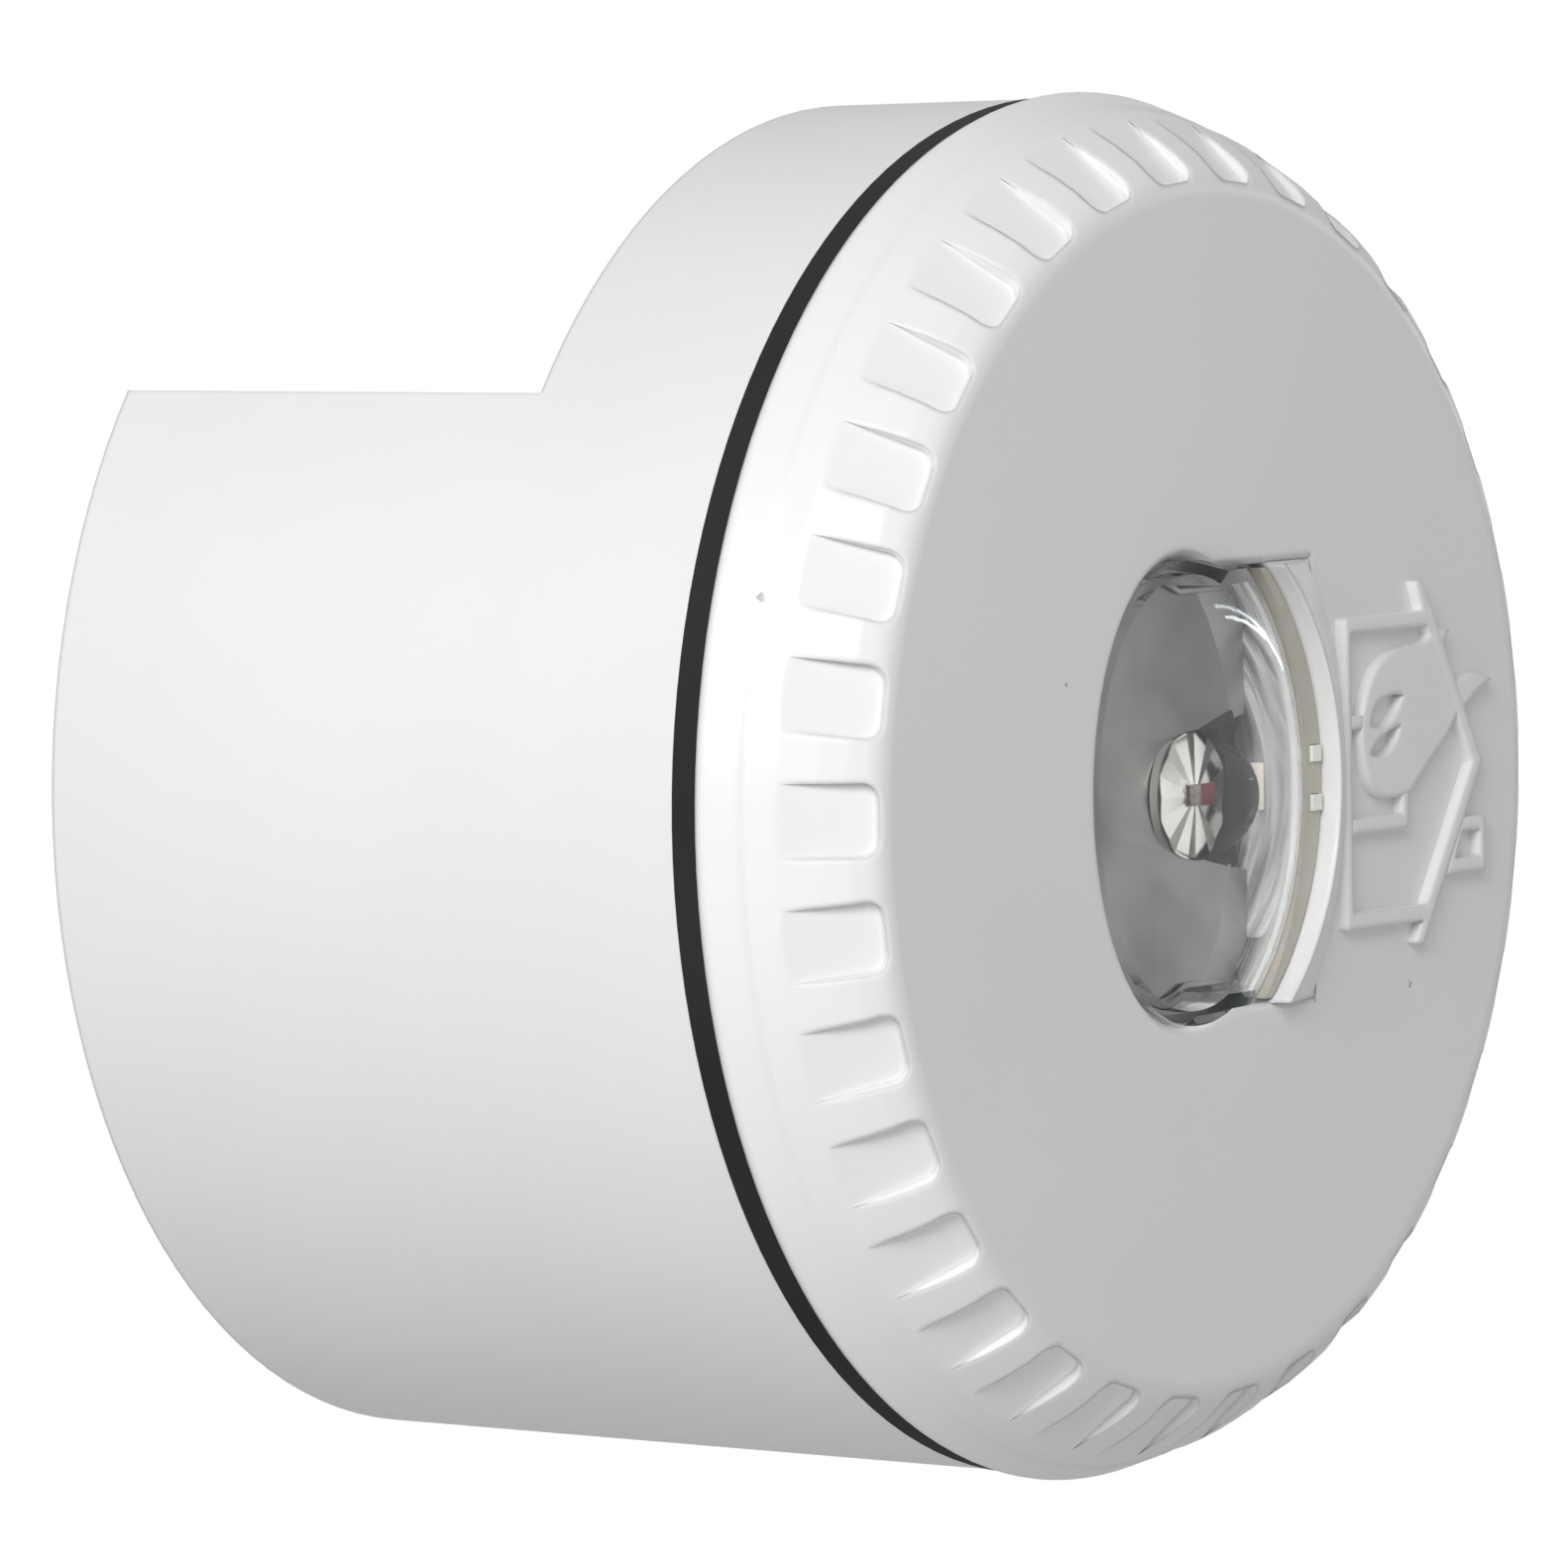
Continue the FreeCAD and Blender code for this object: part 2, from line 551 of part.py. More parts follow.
# Pieces that stay on the wall
def base_housing():
    side = s.base_front_radius
    outside = cut(cone(BASE_REAR_RADIUS, side, ZERO, RIM),
                  block(-side, side, s.flat_height, side, ZERO, s.flat_depth))
    inner_rear = BASE_REAR_RADIUS + BASE_FLARE * s.base_floor - s.base_wall
    inside = cut(cone(inner_rear, side - s.base_wall, s.base_floor, RIM),
                 block(-side, side, s.flat_height - s.base_wall, side, s.base_floor, s.flat_depth + s.base_wall))
    pad_front = s.base_floor + s.fixing_pad_height
    in_wall = side - s.base_wall / 2
    added, removed = [cut(outside, inside)], []
    for angle in FIXING_ANGLES:
        spot = polar(s.fixing_circle_radius, angle)
        added.append(disc(s.fixing_pad_radius, ZERO, pad_front, *spot))
        removed.append(disc(s.fixing_hole_radius, ZERO, pad_front, *spot))
    for angle in POST_ANGLES:
        spot = polar(s.post_circle_radius, angle)
        added.append(disc(s.post_radius, s.base_floor / 2, s.plate_depth, *spot))
        removed.append(disc(PILOT, s.plate_depth - s.screw_length, s.plate_depth, *spot))
    for angle in LUG_ANGLES:
        stop = Size(angle) - s.base_lug_half_angle - s.stop_angle / 2
        added.append(sector(BASE_LUG_INNER, in_wall, BASE_LUG_BACK, BASE_LUG_FRONT, angle, s.base_lug_half_angle))
        added.append(sector(BASE_LUG_INNER, in_wall, HEAD_LUG_BACK, BASE_LUG_FRONT, stop, s.stop_angle / 2))
    removed.append(disc(s.cable_hole_radius, ZERO, s.base_floor, ZERO, -s.cable_hole_drop))
    for x in (-s.knockout_spacing / 2, s.knockout_spacing / 2):
        bottom, top = s.flat_height - s.base_wall + s.knockout_skin, s.flat_height
        ring = upright(s.knockout_radius, bottom, top, x, s.knockout_depth)
        core = upright(s.knockout_radius - s.knockout_groove, bottom, top, x, s.knockout_depth)
        removed.append(cut(ring, core))
    piece(cut(fuse(*added), *removed), "base_housing", STAND)


def rear_grommet():
    flange_front = s.base_floor + s.grommet_flange_thickness
    body, turning = turned_body("grommet_body", [
        (ZERO, s.grommet_sink),
        (s.cable_hole_radius - s.seat_gap, s.grommet_sink),
        (s.cable_hole_radius - s.seat_gap, s.base_floor),
        (s.cable_hole_radius + s.grommet_flange, s.base_floor),
        (s.cable_hole_radius + s.grommet_flange, flange_front),
        (s.cable_hole_radius - s.grommet_wall, flange_front),
        (s.cable_hole_radius - s.grommet_wall, s.grommet_sink + s.grommet_skin),
        (ZERO, s.grommet_sink + s.grommet_skin)])
    down = Placement(Vector(0, -s.cable_hole_drop.value, 0), Rotation())
    piece(body, "rear_grommet", STAND * down)


def gasket():
    body = flat_body("gasket_body", RIM, s.gasket_thickness,
                     (GASKET_RADIUS, ZERO, ZERO), (GASKET_RADIUS - s.gasket_width, ZERO, ZERO))
    piece(body, "gasket", STAND)


def terminal_plate():
    holes = [(s.screw_access_radius, *polar(s.fixing_circle_radius, angle)) for angle in FIXING_ANGLES]
    holes += [(PILOT, *polar(s.post_circle_radius, angle)) for angle in POST_ANGLES]
    holes.append((s.plate_hole_radius, ZERO, -s.plate_hole_drop))
    body = flat_body("plate_body", s.plate_depth, s.plate_thickness, (PLATE_RADIUS, ZERO, ZERO), *holes)
    top = s.flat_height - s.base_wall - s.plate_top_gap
    above = block(-PLATE_RADIUS, PLATE_RADIUS, top, PLATE_RADIUS, s.plate_depth, PLATE_FRONT)
    piece(cut(body, above), "terminal_plate", STAND)
    screws("plate_screws", [polar(s.post_circle_radius, angle) for angle in POST_ANGLES], PLATE_FRONT, 1, STAND)


def terminal_block():
    front = PLATE_FRONT + s.block_depth
    top = -s.block_drop + s.block_height / 2
    pitch = s.block_width / s.block_ways
    wells, heads = [], []
    for way in range(int(s.block_ways.value)):
        x = -s.block_width / 2 + pitch * (way + 0.5)
        y = -s.block_drop
        well = front - s.terminal_well
        wells.append(disc(s.terminal_screw_radius + s.seat_gap, well, front, x, y))
        wells.append(block(x - s.wire_hole / 2, x + s.wire_hole / 2, y + s.terminal_screw_radius, top,
                           PLATE_FRONT + s.wire_hole / 2, PLATE_FRONT + s.wire_hole * 1.5))
        crown = well + s.terminal_screw_height
        slot = brick(s.terminal_screw_radius * 3, s.screw_slot, crown - s.screw_slot, crown, x, y)
        heads.append(cut(disc(s.terminal_screw_radius, well, crown, x, y), slot))
    body = brick(s.block_width, s.block_height, PLATE_FRONT, front, ZERO, -s.block_drop)
    piece(cut(body, *wells), "terminal_block", STAND)
    piece(group(heads), "terminal_screws", STAND)


def contact_clips():
    clips = []
    for angle in CONTACT_ANGLES:
        slot_inner, slot_outer = BLADE_INNER - s.clip_gap, BLADE_OUTER + s.clip_gap
        whole = sector(slot_inner - s.clip_leaf, slot_outer + s.clip_leaf, PLATE_FRONT, CLIP_FRONT, angle,
                       s.clip_half_angle)
        slot = sector(slot_inner, slot_outer, PLATE_FRONT + s.clip_base, CLIP_FRONT, angle, s.blade_half_angle)
        clips.append(cut(whole, slot))
    piece(group(clips), "contact_clips", STAND)


# The window, which the cover, the lens and what lies behind it share
def window(inset, low, high):
    """The window's own outline as a solid, made smaller all round by inset."""
    half = s.window_half_height - inset
    round_side = oval(s.window_round_width - inset, s.window_round_height - inset, low, high, s.window_middle)
    reach = s.lip_middle + s.lip_radius - inset
    straight_side = block(s.window_middle, reach, -half, half, low, high)
    return common(fuse(round_side, straight_side), disc(s.lip_radius - inset, low, high, s.lip_middle))


def dome(inset, low):
    """The dome of the lens, carried down to a plane and made smaller by inset."""
    across, up = s.dome_half_width - inset, s.dome_half_height - inset
    return fuse(oval(across, up, low, DOME_PLANE, s.dome_middle),
                ellipsoid(across, up, s.dome_rise - inset, s.dome_middle, DOME_PLANE))


# Pieces of the head
def cover_shell():
    """The turned cover with its rounded edges and its ring of grip recesses."""
    rim, band = HEAD + s.cover_rim_height, HEAD + s.cover_band_height
    band_radius = s.base_front_radius - s.cover_band_set
    body, last = turned_body("cover_body", [
        (ZERO, FACE_BACK), (ZERO, FACE), (COVER_CORNER_RADIUS, FACE),
        (s.base_front_radius - s.cover_bend_set, FACE - s.cover_bend_drop),
        (s.base_front_radius - s.cover_side_set, FACE - s.cover_side_drop),
        (s.base_front_radius - s.cover_shoulder_set, HEAD + s.cover_shoulder_height),
        (band_radius - s.cover_step, band + s.cover_step), (band_radius, band), (COVER_RIM_RADIUS, rim),
        (COVER_REAR_RADIUS, HEAD), (COVER_INNER_RADIUS, HEAD), (COVER_INNER_RADIUS, HEAD + s.cover_inner_step),
        (COVER_INNER_RADIUS - s.cover_inner_slope, FACE_BACK)])
    for radius, level, rounding in ((COVER_CORNER_RADIUS, FACE, s.cover_rounding),
                                    (COVER_RIM_RADIUS, rim, s.cover_rim_rounding)):
        soft = body.newObject("PartDesign::Fillet", "cover_rounding")
        soft.Base = (last, ring_edges(last.Shape, radius, level))
        bind(soft, Radius=rounding)
        body.Tip = soft
        doc.recompute()
        last = soft
    drawing = sketch(body, "XY_Plane", "recess_outline")
    drawing.AttachmentOffset = Placement(Vector(0, 0, 0), Rotation(Vector(0, -1, 0), s.recess_tilt.value))
    bind(drawing, AttachmentOffset__Rotation__Angle=s.recess_tilt,
         AttachmentOffset__Base__x=-(COVER_CORNER_RADIUS + s.recess_place),
         AttachmentOffset__Base__z=FACE - s.recess_drop)
    recess_outline(drawing)
    before = last.Shape.Volume
    recess = body.newObject("PartDesign::Pocket", "recess")
    recess.Profile = drawing
    recess.Reversed = True
    bind(recess, Length=s.recess_rear)
    body.Tip = recess
    doc.recompute()
    if not recess.Shape.Volume < before:
        raise RuntimeError("the recess cuts nothing")
    ring = body.newObject("PartDesign::PolarPattern", "recess_ring")
    ring.Originals = [recess]
    ring.Axis = (next(item for item in body.Origin.OriginFeatures if item.Role == "Z_Axis"), [""])
    ring.Angle = 360
    bind(ring, Occurrences=s.recess_count)
    body.Tip = ring
    body.Placement = Placement(Vector(0, 0, 0), Rotation(Vector(0, 0, -1), s.recess_turn.value))
    bind(body, Placement__Rotation__Angle=s.recess_turn)
    doc.recompute()
    return body


def ring_edges(shape, radius, level):
    """Names of the circular edges with this radius at this distance from the wall."""
    found = []
    for index, edge in enumerate(shape.Edges, 1):
        box = edge.BoundBox
        flat = max(abs(box.ZMax - level.value), abs(box.ZMin - level.value)) < 0.01
        if flat and abs(box.XMax - radius.value) < 0.01:
            found.append(f"Edge{index}")
    return found


def recess_outline(drawing):
    """One recess seen square on: straight sides, and rounded corners at the end by the face."""
    front, rear, half, corner = s.recess_front, -s.recess_rear, s.recess_width / 2, s.recess_corner
    start = front - corner
    spots = [(rear, -half), (start, -half), (front, corner - half), (front, half - corner), (start, half),
             (rear, half)]
    points = [Vector(x.value, y.value, 0) for x, y in spots]
    inset = corner.value * (1 - math.sqrt(0.5))
    below = Vector(front.value - inset, inset - half.value, 0)
    above = Vector(front.value - inset, half.value - inset, 0)
    drawing.addGeometry(Part.LineSegment(points[0], points[1]))
    drawing.addGeometry(Part.Arc(points[1], below, points[2]))
    drawing.addGeometry(Part.LineSegment(points[2], points[3]))
    drawing.addGeometry(Part.Arc(points[3], above, points[4]))
    drawing.addGeometry(Part.LineSegment(points[4], points[5]))
    drawing.addGeometry(Part.LineSegment(points[5], points[0]))
    for index in range(6):
        drawing.addConstraint(Sketcher.Constraint("Coincident", index, 2, (index + 1) % 6, 1))
        pin(drawing, index, 1, *spots[index])
    for arc in (1, 3):
        hold(drawing, "Radius", arc, size=corner)


def window_bevel():
    """What the bevel round the window takes away."""
    low = FACE - s.window_bevel
    rings = []
    for grown, level in ((ZERO, low), (s.window_bevel, FACE)):
        edge = doc.addObject("Part::Ellipse", "bevel_edge")
        bind(edge, MajorRadius=s.window_round_height + grown, MinorRadius=s.window_round_width + grown)
        edge.Placement.Rotation = Rotation(Vector(0, 0, 1), 90)
        rings.append(put(edge, s.window_middle, ZERO, level))
    round_side = doc.addObject("Part::Loft", "round_bevel")
    round_side.Sections = rings
    round_side.Solid = True
    round_side.Ruled = True
    half, wide = s.window_half_height, s.window_half_height + s.window_bevel
    straight_side = doc.addObject("Part::Wedge", "straight_bevel")
    bind(straight_side, Ymin=low, Ymax=FACE, Zmin=-half, Zmax=half, Z2min=-wide, Z2max=wide,
         Xmin=s.window_middle, X2min=s.window_middle, Xmax=s.corner_pocket_end, X2max=s.corner_pocket_end)
    straight_side.Placement.Rotation = Rotation(Vector(1, 0, 0), 90)
    return fuse(round_side, straight_side)


def lip():
    """The raised lip on the straight side of the window; its ramp runs on below the face."""
    slope = (s.lip_foot_radius - s.lip_radius) / s.lip_height
    crest, root, half = FACE + s.lip_height, FACE_BACK + s.cover_wall / 2, s.window_half_height
    ramp = cone(s.lip_foot_radius + slope * (FACE - root), s.lip_radius, root, crest, s.lip_middle)
    ring = cut(ramp, disc(s.lip_radius, root, crest, s.lip_middle))
    return common(ring, block(ZERO, s.lip_middle + s.lip_foot_radius * 1.5, -half, half, root, crest))


def front_cover():
    half = s.window_half_height
    pocket = block(s.window_middle, s.corner_pocket_end, -half, half, FACE - s.corner_pocket_depth, FACE)
    plate = cut(cover_shell(), window(ZERO, FACE_BACK, FACE), window_bevel(), pocket)
    added, removed = [plate, lip()], []
    for angle in PILLAR_ANGLES:
        spot = polar(PILLAR_CIRCLE, angle)
        added.append(disc(s.pillar_radius, CHASSIS_FLOOR, FACE_BACK + s.cover_wall / 2, *spot))
        removed.append(disc(PILOT, CHASSIS_FLOOR, CHASSIS_BACK + s.screw_length + s.seat_gap, *spot))
    for angle in CLAMP_ANGLES:
        spot = polar(s.clamp_screw_circle, angle)
        added.append(disc(s.clamp_boss_radius, FLANGE_BACK, FACE_BACK + s.cover_wall / 2, *spot))
        removed.append(disc(s.clamp_screw_radius + s.thread_gap, FLANGE_BACK,
                            CLAMP_BACK + s.clamp_screw_length + s.seat_gap, *spot))
    piece(cut(fuse(*added), *removed), "front_cover", TURNED)


def lens():
    wall = s.lens_gap + s.lens_wall
    plate = window(s.lens_gap, FLANGE_BACK, LENS_PLATE)
    crown = common(dome(ZERO, FLANGE_FRONT), window(s.lens_gap, FLANGE_FRONT, LENS_CREST))
    flange = window(-s.lens_flange, FLANGE_BACK, FLANGE_FRONT)
    room = window(wall, FLANGE_BACK, LENS_PLATE - s.lens_plate_thickness)
    hollow = common(dome(s.lens_wall, FLANGE_BACK), window(wall, FLANGE_BACK, LENS_CREST))
    piece(cut(fuse(plate, crown, flange), room, hollow), "lens", TURNED)


def lens_holders():
    seal = cut(window(-s.lens_flange, FLANGE_FRONT, FACE_BACK), window(ZERO, FLANGE_BACK, FACE))
    piece(seal, "lens_seal", TURNED)
    spots = [polar(s.clamp_screw_circle, angle) for angle in CLAMP_ANGLES]
    holes = [disc(s.clamp_screw_radius + s.thread_gap, CLAMP_BACK, FLANGE_BACK, *spot) for spot in spots]
    clamp = cut(disc(s.clamp_radius, CLAMP_BACK, FLANGE_BACK), window(ZERO, CLAMP_BACK, FLANGE_BACK), *holes)
    piece(clamp, "lens_clamp", TURNED)
    screws("clamp_screws", spots, CLAMP_BACK, -1, TURNED, s.clamp_screw_radius, s.clamp_screw_head_radius,
           s.clamp_screw_head_height, s.clamp_screw_length)


def indicator():
    """The pale bar between the dome and the lip, with its two small windows."""
    outer = disc(s.lip_radius - s.lens_gap, LENS_PLATE, BAR_FRONT, s.lip_middle)
    dome_side = oval(s.dome_half_width + s.bar_gap, s.dome_half_height + s.bar_gap, LENS_PLATE, BAR_FRONT,
                     s.dome_middle)
    half = s.bar_half_height
    crescent = common(cut(outer, dome_side),
                      block(s.dome_middle, s.lip_middle + s.lip_radius, -half, half, LENS_PLATE, BAR_FRONT))
    holes, windows, sources = [], [], []
    for y in (-s.bar_window_spacing / 2, s.bar_window_spacing / 2):
        side = s.bar_window + s.thread_gap * 2
        holes.append(brick(side, side, LENS_PLATE, BAR_FRONT, s.bar_window_place, y))
        windows.append(brick(s.bar_window, s.bar_window, LENS_PLATE, BAR_FRONT + s.bar_window_proud,
                             s.bar_window_place, y))
        sources.append(brick(s.status_led_side, s.status_led_side, BOARD_FRONT, BOARD_FRONT + s.status_led_height,
                             s.bar_window_place, y))
    piece(cut(crescent, *holes), "indicator_bar", TURNED)
    piece(group(windows), "indicator_windows", TURNED)
    piece(group(sources), "status_leds", TURNED)


def under_lens(low, high):
    """The room under the lens, from one plane to another."""
    inset = s.lens_wall + s.reflector_gap
    return common(window(s.lens_gap + inset, low, high), dome(inset, low))


def reflector():
    """The satin bowl, with a bore for the light source, a well beside it and a seat for the side prism."""
    bowl = ellipsoid(s.bowl_half_width, s.bowl_half_height, s.bowl_half_depth, s.bowl_middle,
                     REFLECTOR_FRONT + s.bowl_lift)
    bore = disc(s.led_dome_radius + s.bore_gap, SPREADER_FRONT, REFLECTOR_FRONT, *LED_SPOT)
    reach, half = s.well_radius, s.prism_half_height + s.prism_seat_gap
    well = common(disc(reach, SPREADER_FRONT, REFLECTOR_FRONT, PRISM_LEFT, -s.led_low),
                  block(s.led_place, PRISM_LEFT, -s.led_low - reach, -s.led_low + reach, SPREADER_FRONT,
                        REFLECTOR_FRONT))
    seat = block(PRISM_LEFT - s.prism_seat_gap, s.lip_radius, -half, half, PRISM_BACK, REFLECTOR_FRONT)
    piece(cut(under_lens(SPREADER_FRONT, REFLECTOR_FRONT), bowl, bore, well, seat), "reflector", TURNED)


def side_prism():
    """The clear block that throws the light sideways; it stands in the reflector beside the light source."""
    half, top = s.prism_half_height, LENS_CREST
    body = common(under_lens(PRISM_BACK, top), block(PRISM_LEFT, s.lip_radius, -half, half, PRISM_BACK, top))
    piece(body, "side_prism", TURNED)


def light_source():
    reach = s.led_dome_radius
    ball = put(ellipsoid(reach, reach, reach, s.led_place, LED_BASE), *LED_SPOT, LED_BASE)
    half = common(ball, brick(reach * 2, reach * 2, LED_BASE, LED_BASE + reach, *LED_SPOT))
    piece(half, "led_dome", TURNED)
    piece(brick(s.led_carrier_side, s.led_carrier_side, CARRIER_BACK, LED_BASE, *LED_SPOT, 45),
          "led_carrier", TURNED)
    piece(disc(s.led_board_radius, LED_BOARD_BACK, CARRIER_BACK, *LED_SPOT), "led_board", TURNED)
    spots = [(s.led_place, -s.led_low - s.led_pin_spacing / 2), (s.led_place, -s.led_low + s.led_pin_spacing / 2)]
    holes = [disc(s.led_pin_radius + s.led_pin_gap, SPREADER_BACK, LED_BOARD_BACK, *spot) for spot in spots]
    stud = disc(s.led_board_radius, SPREADER_BACK, LED_BOARD_BACK, *LED_SPOT)
    piece(cut(fuse(disc(s.spreader_radius, SPREADER_BACK, SPREADER_FRONT), stud), *holes), "heat_spreader", TURNED)
    piece(group([disc(s.led_pin_radius, BOARD_FRONT, LED_BOARD_BACK, *spot) for spot in spots]), "led_pins", TURNED)
    spacers = [disc(s.spacer_radius, BOARD_FRONT, SPREADER_BACK, *polar(s.spacer_circle, angle))
               for angle in SPACER_ANGLES]
    piece(group(spacers), "spreader_spacers", TURNED)


def main_board():
    holes = [(s.pillar_radius + s.board_hole_gap, *polar(PILLAR_CIRCLE, angle)) for angle in PILLAR_ANGLES]
    spots = [polar(BOARD_POST_CIRCLE, angle) for angle in BOARD_POST_ANGLES]
    holes += [(PILOT, *spot) for spot in spots]
    body = flat_body("board_body", BOARD_BACK, s.board_thickness, (BOARD_RADIUS, ZERO, ZERO), *holes)
    piece(body, "main_board", TURNED)
    screws("board_screws", spots, BOARD_FRONT, 1, TURNED, length=s.board_screw_length)
    for label, radius, height, place, angle in (
            ("capacitor_main", s.can_radius, s.can_height, CAN_PLACE, CAN_ANGLE),
            ("capacitor_small", s.small_can_radius, s.small_can_height, PART_CIRCLE, SMALL_CAN_ANGLE),
            ("inductor", s.coil_radius, s.coil_height, PART_CIRCLE, COIL_ANGLE)):
        piece(disc(radius, BOARD_FRONT, BOARD_FRONT + height, *polar(place, angle)), label, TURNED)
    chip = brick(s.chip_length, s.chip_width, BOARD_FRONT, BOARD_FRONT + s.chip_height,
                 *polar(PART_CIRCLE, CHIP_ANGLE))
    piece(chip, "driver_chip", TURNED)


def head_chassis():
    shell = fuse(disc(SKIRT_OUTER, CHASSIS_BACK, CHASSIS_RIM),
                 disc(CHASSIS_RIM_RADIUS, CHASSIS_RIM - s.chassis_rim_thickness, CHASSIS_RIM))
    added, removed = [cut(shell, disc(SKIRT_INNER, CHASSIS_FLOOR, CHASSIS_RIM))], []
    in_floor = CHASSIS_BACK + s.chassis_floor / 2
    for angle in BOARD_POST_ANGLES:
        spot = polar(BOARD_POST_CIRCLE, angle)
        added.append(disc(s.pillar_radius, in_floor, BOARD_BACK, *spot))
        removed.append(disc(PILOT, BOARD_FRONT - s.board_screw_length - s.seat_gap, BOARD_BACK, *spot))
    for angle in PILLAR_ANGLES:
        removed.append(disc(PILOT, CHASSIS_BACK, CHASSIS_FLOOR, *polar(PILLAR_CIRCLE, angle)))
    in_skirt = SKIRT_OUTER - s.skirt_wall / 2
    for angle in LUG_ANGLES:
        added.append(sector(in_skirt, HEAD_LUG_OUTER, HEAD_LUG_BACK, HEAD_LUG_FRONT, angle, s.head_lug_half_angle))
    for angle in CONTACT_ANGLES:
        gap = s.blade_slot_gap
        removed.append(sector(BLADE_INNER - gap, BLADE_OUTER + gap, CHASSIS_BACK, CHASSIS_FLOOR, angle,
                              s.blade_half_angle + 1))
    piece(cut(fuse(*added), *removed), "head_chassis", TURNED)
    spots = [polar(PILLAR_CIRCLE, angle) for angle in PILLAR_ANGLES]
    screws("chassis_screws", spots, CHASSIS_BACK, -1, TURNED)


def contact_blades():
    blades = [sector(BLADE_INNER, BLADE_OUTER, CLIP_FRONT - s.blade_engagement, BOARD_BACK, angle,
                     s.blade_half_angle) for angle in CONTACT_ANGLES]
    piece(group(blades), "contact_blades", TURNED)


def build():
    base_housing()
    rear_grommet()
    gasket()
    terminal_plate()
    terminal_block()
    contact_clips()
    front_cover()
    lens()
    lens_holders()
    indicator()
    reflector()
    side_prism()
    light_source()
    main_board()
    head_chassis()
    contact_blades()
    doc.recompute()


def check():
    for item in doc.Objects:
        if {"Invalid", "Error"} & set(item.State):
            raise RuntimeError(f"{item.Label}: {item.State}")
    for item in PIECES:
        if item.Shape.isNull() or not item.Shape.isValid() or not item.Shape.Solids:
            raise RuntimeError(f"{item.Label}: no valid solid")


def export():
    os.makedirs("parts", exist_ok=True)
    for item in PIECES:
        item.Shape.exportStep(f"parts/{item.Label}.step")
        box = item.Shape.BoundBox
        print(f"{item.Label}: {len(item.Shape.Solids)} solids, {item.Shape.Volume:.0f} mm3, "
              f"y {box.YMin:.2f} to {box.YMax:.2f}")


build()
check()
export()
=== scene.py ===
"""Wall-mounted alarm strobe beacon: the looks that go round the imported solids.

The axis of the beacon lies along Y with the wall at y = 0, the front faces -Y and +Z is up. Lengths are in metres, or
in millimetres where a name ends in _MM. What the head carries is drawn square in millimetres, with x to the right, y
up and its level counted from the wall, and then takes the head's small turn.
"""
import json
import math

import bpy
from mathutils import Matrix, Quaternion, Vector


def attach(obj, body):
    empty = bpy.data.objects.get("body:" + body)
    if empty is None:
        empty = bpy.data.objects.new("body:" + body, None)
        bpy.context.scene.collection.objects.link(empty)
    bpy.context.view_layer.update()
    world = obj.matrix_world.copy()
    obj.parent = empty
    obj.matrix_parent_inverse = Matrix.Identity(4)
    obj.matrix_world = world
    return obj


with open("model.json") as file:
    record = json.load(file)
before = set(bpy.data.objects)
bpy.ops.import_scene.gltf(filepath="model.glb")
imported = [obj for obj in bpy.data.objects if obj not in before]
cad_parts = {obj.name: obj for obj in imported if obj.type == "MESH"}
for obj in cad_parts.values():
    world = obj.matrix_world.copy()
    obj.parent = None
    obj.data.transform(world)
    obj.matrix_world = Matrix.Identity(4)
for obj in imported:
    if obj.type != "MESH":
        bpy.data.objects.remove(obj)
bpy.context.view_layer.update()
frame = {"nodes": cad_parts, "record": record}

MM = 0.001
HEAD_TURN = math.radians(4.2)
HEAD_PLACE = Matrix.Rotation(-HEAD_TURN, 4, "Y") @ Matrix.Scale(MM, 4)

# The solids that new pieces meet: the cover's face, the base of the light source, the window with its round side, its
# straight sides and the arc of the lip, and the hollow of the reflector with its flat front
FACE_LEVEL_MM = 68.25
LED_LEVEL_MM, LED_X_MM, LED_Y_MM = 64.2, 3.7, -0.7
WINDOW_X_MM, WINDOW_HALF_WIDTH_MM, WINDOW_HALF_HEIGHT_MM = -3.7, 12.1, 17.05
STRAIGHT_HALF_HEIGHT_MM = 16.05
LIP_X_MM, LIP_RADIUS_MM = -5.0, 20.7
BOWL_X_MM, BOWL_HALF_WIDTH_MM, BOWL_HALF_HEIGHT_MM = -4.0, 15, 23
BOWL_RIM_LEVEL_MM, BOWL_SINK_MM, BOWL_FRONT_LEVEL_MM = 69.6, 5.9, 65.6

SOFT_EDGE_MM = 0.1  # on the outlines that are drawn and raised
SIGN_HEIGHT_MM, SIGN_FOOT_MM = 1.3, 0.4  # all of the sign's relief, and how much of it stands in the cover


# Camera, as it stood for the photograph
def place_camera():
    place = Vector((-0.8875755, -0.6125732, 0.0))
    aim = Vector((0.0, -0.0311922, -0.0003778))
    roll = math.radians(1.4323)
    optics = bpy.data.cameras.new("camera")
    optics.sensor_width = 36.0
    optics.lens = 330.284
    optics.clip_start = 0.05
    optics.clip_end = 50.0
    camera = bpy.data.objects.new("camera", optics)
    bpy.context.scene.collection.objects.link(camera)
    camera.location = place
    camera.rotation_mode = "QUATERNION"
    camera.rotation_quaternion = (aim - place).to_track_quat("-Z", "Y") @ Quaternion((0, 0, 1), roll)
    bpy.context.scene.camera = camera


# Nodes
def add_node(tree, kind, values=None, **settings):
    """A shader node with its settings, and with values for its inputs by their names or numbers."""
    node = tree.nodes.new("ShaderNode" + kind)
    for setting, value in settings.items():
        setattr(node, setting, value)
    for socket, value in (values or {}).items():
        node.inputs[socket].default_value = value
    return node


def wire(tree, *links):
    """Each link is a node and its output, then a node and its input."""
    for source, outlet, target, inlet in links:
        tree.links.new(source.outputs[outlet], target.inputs[inlet])


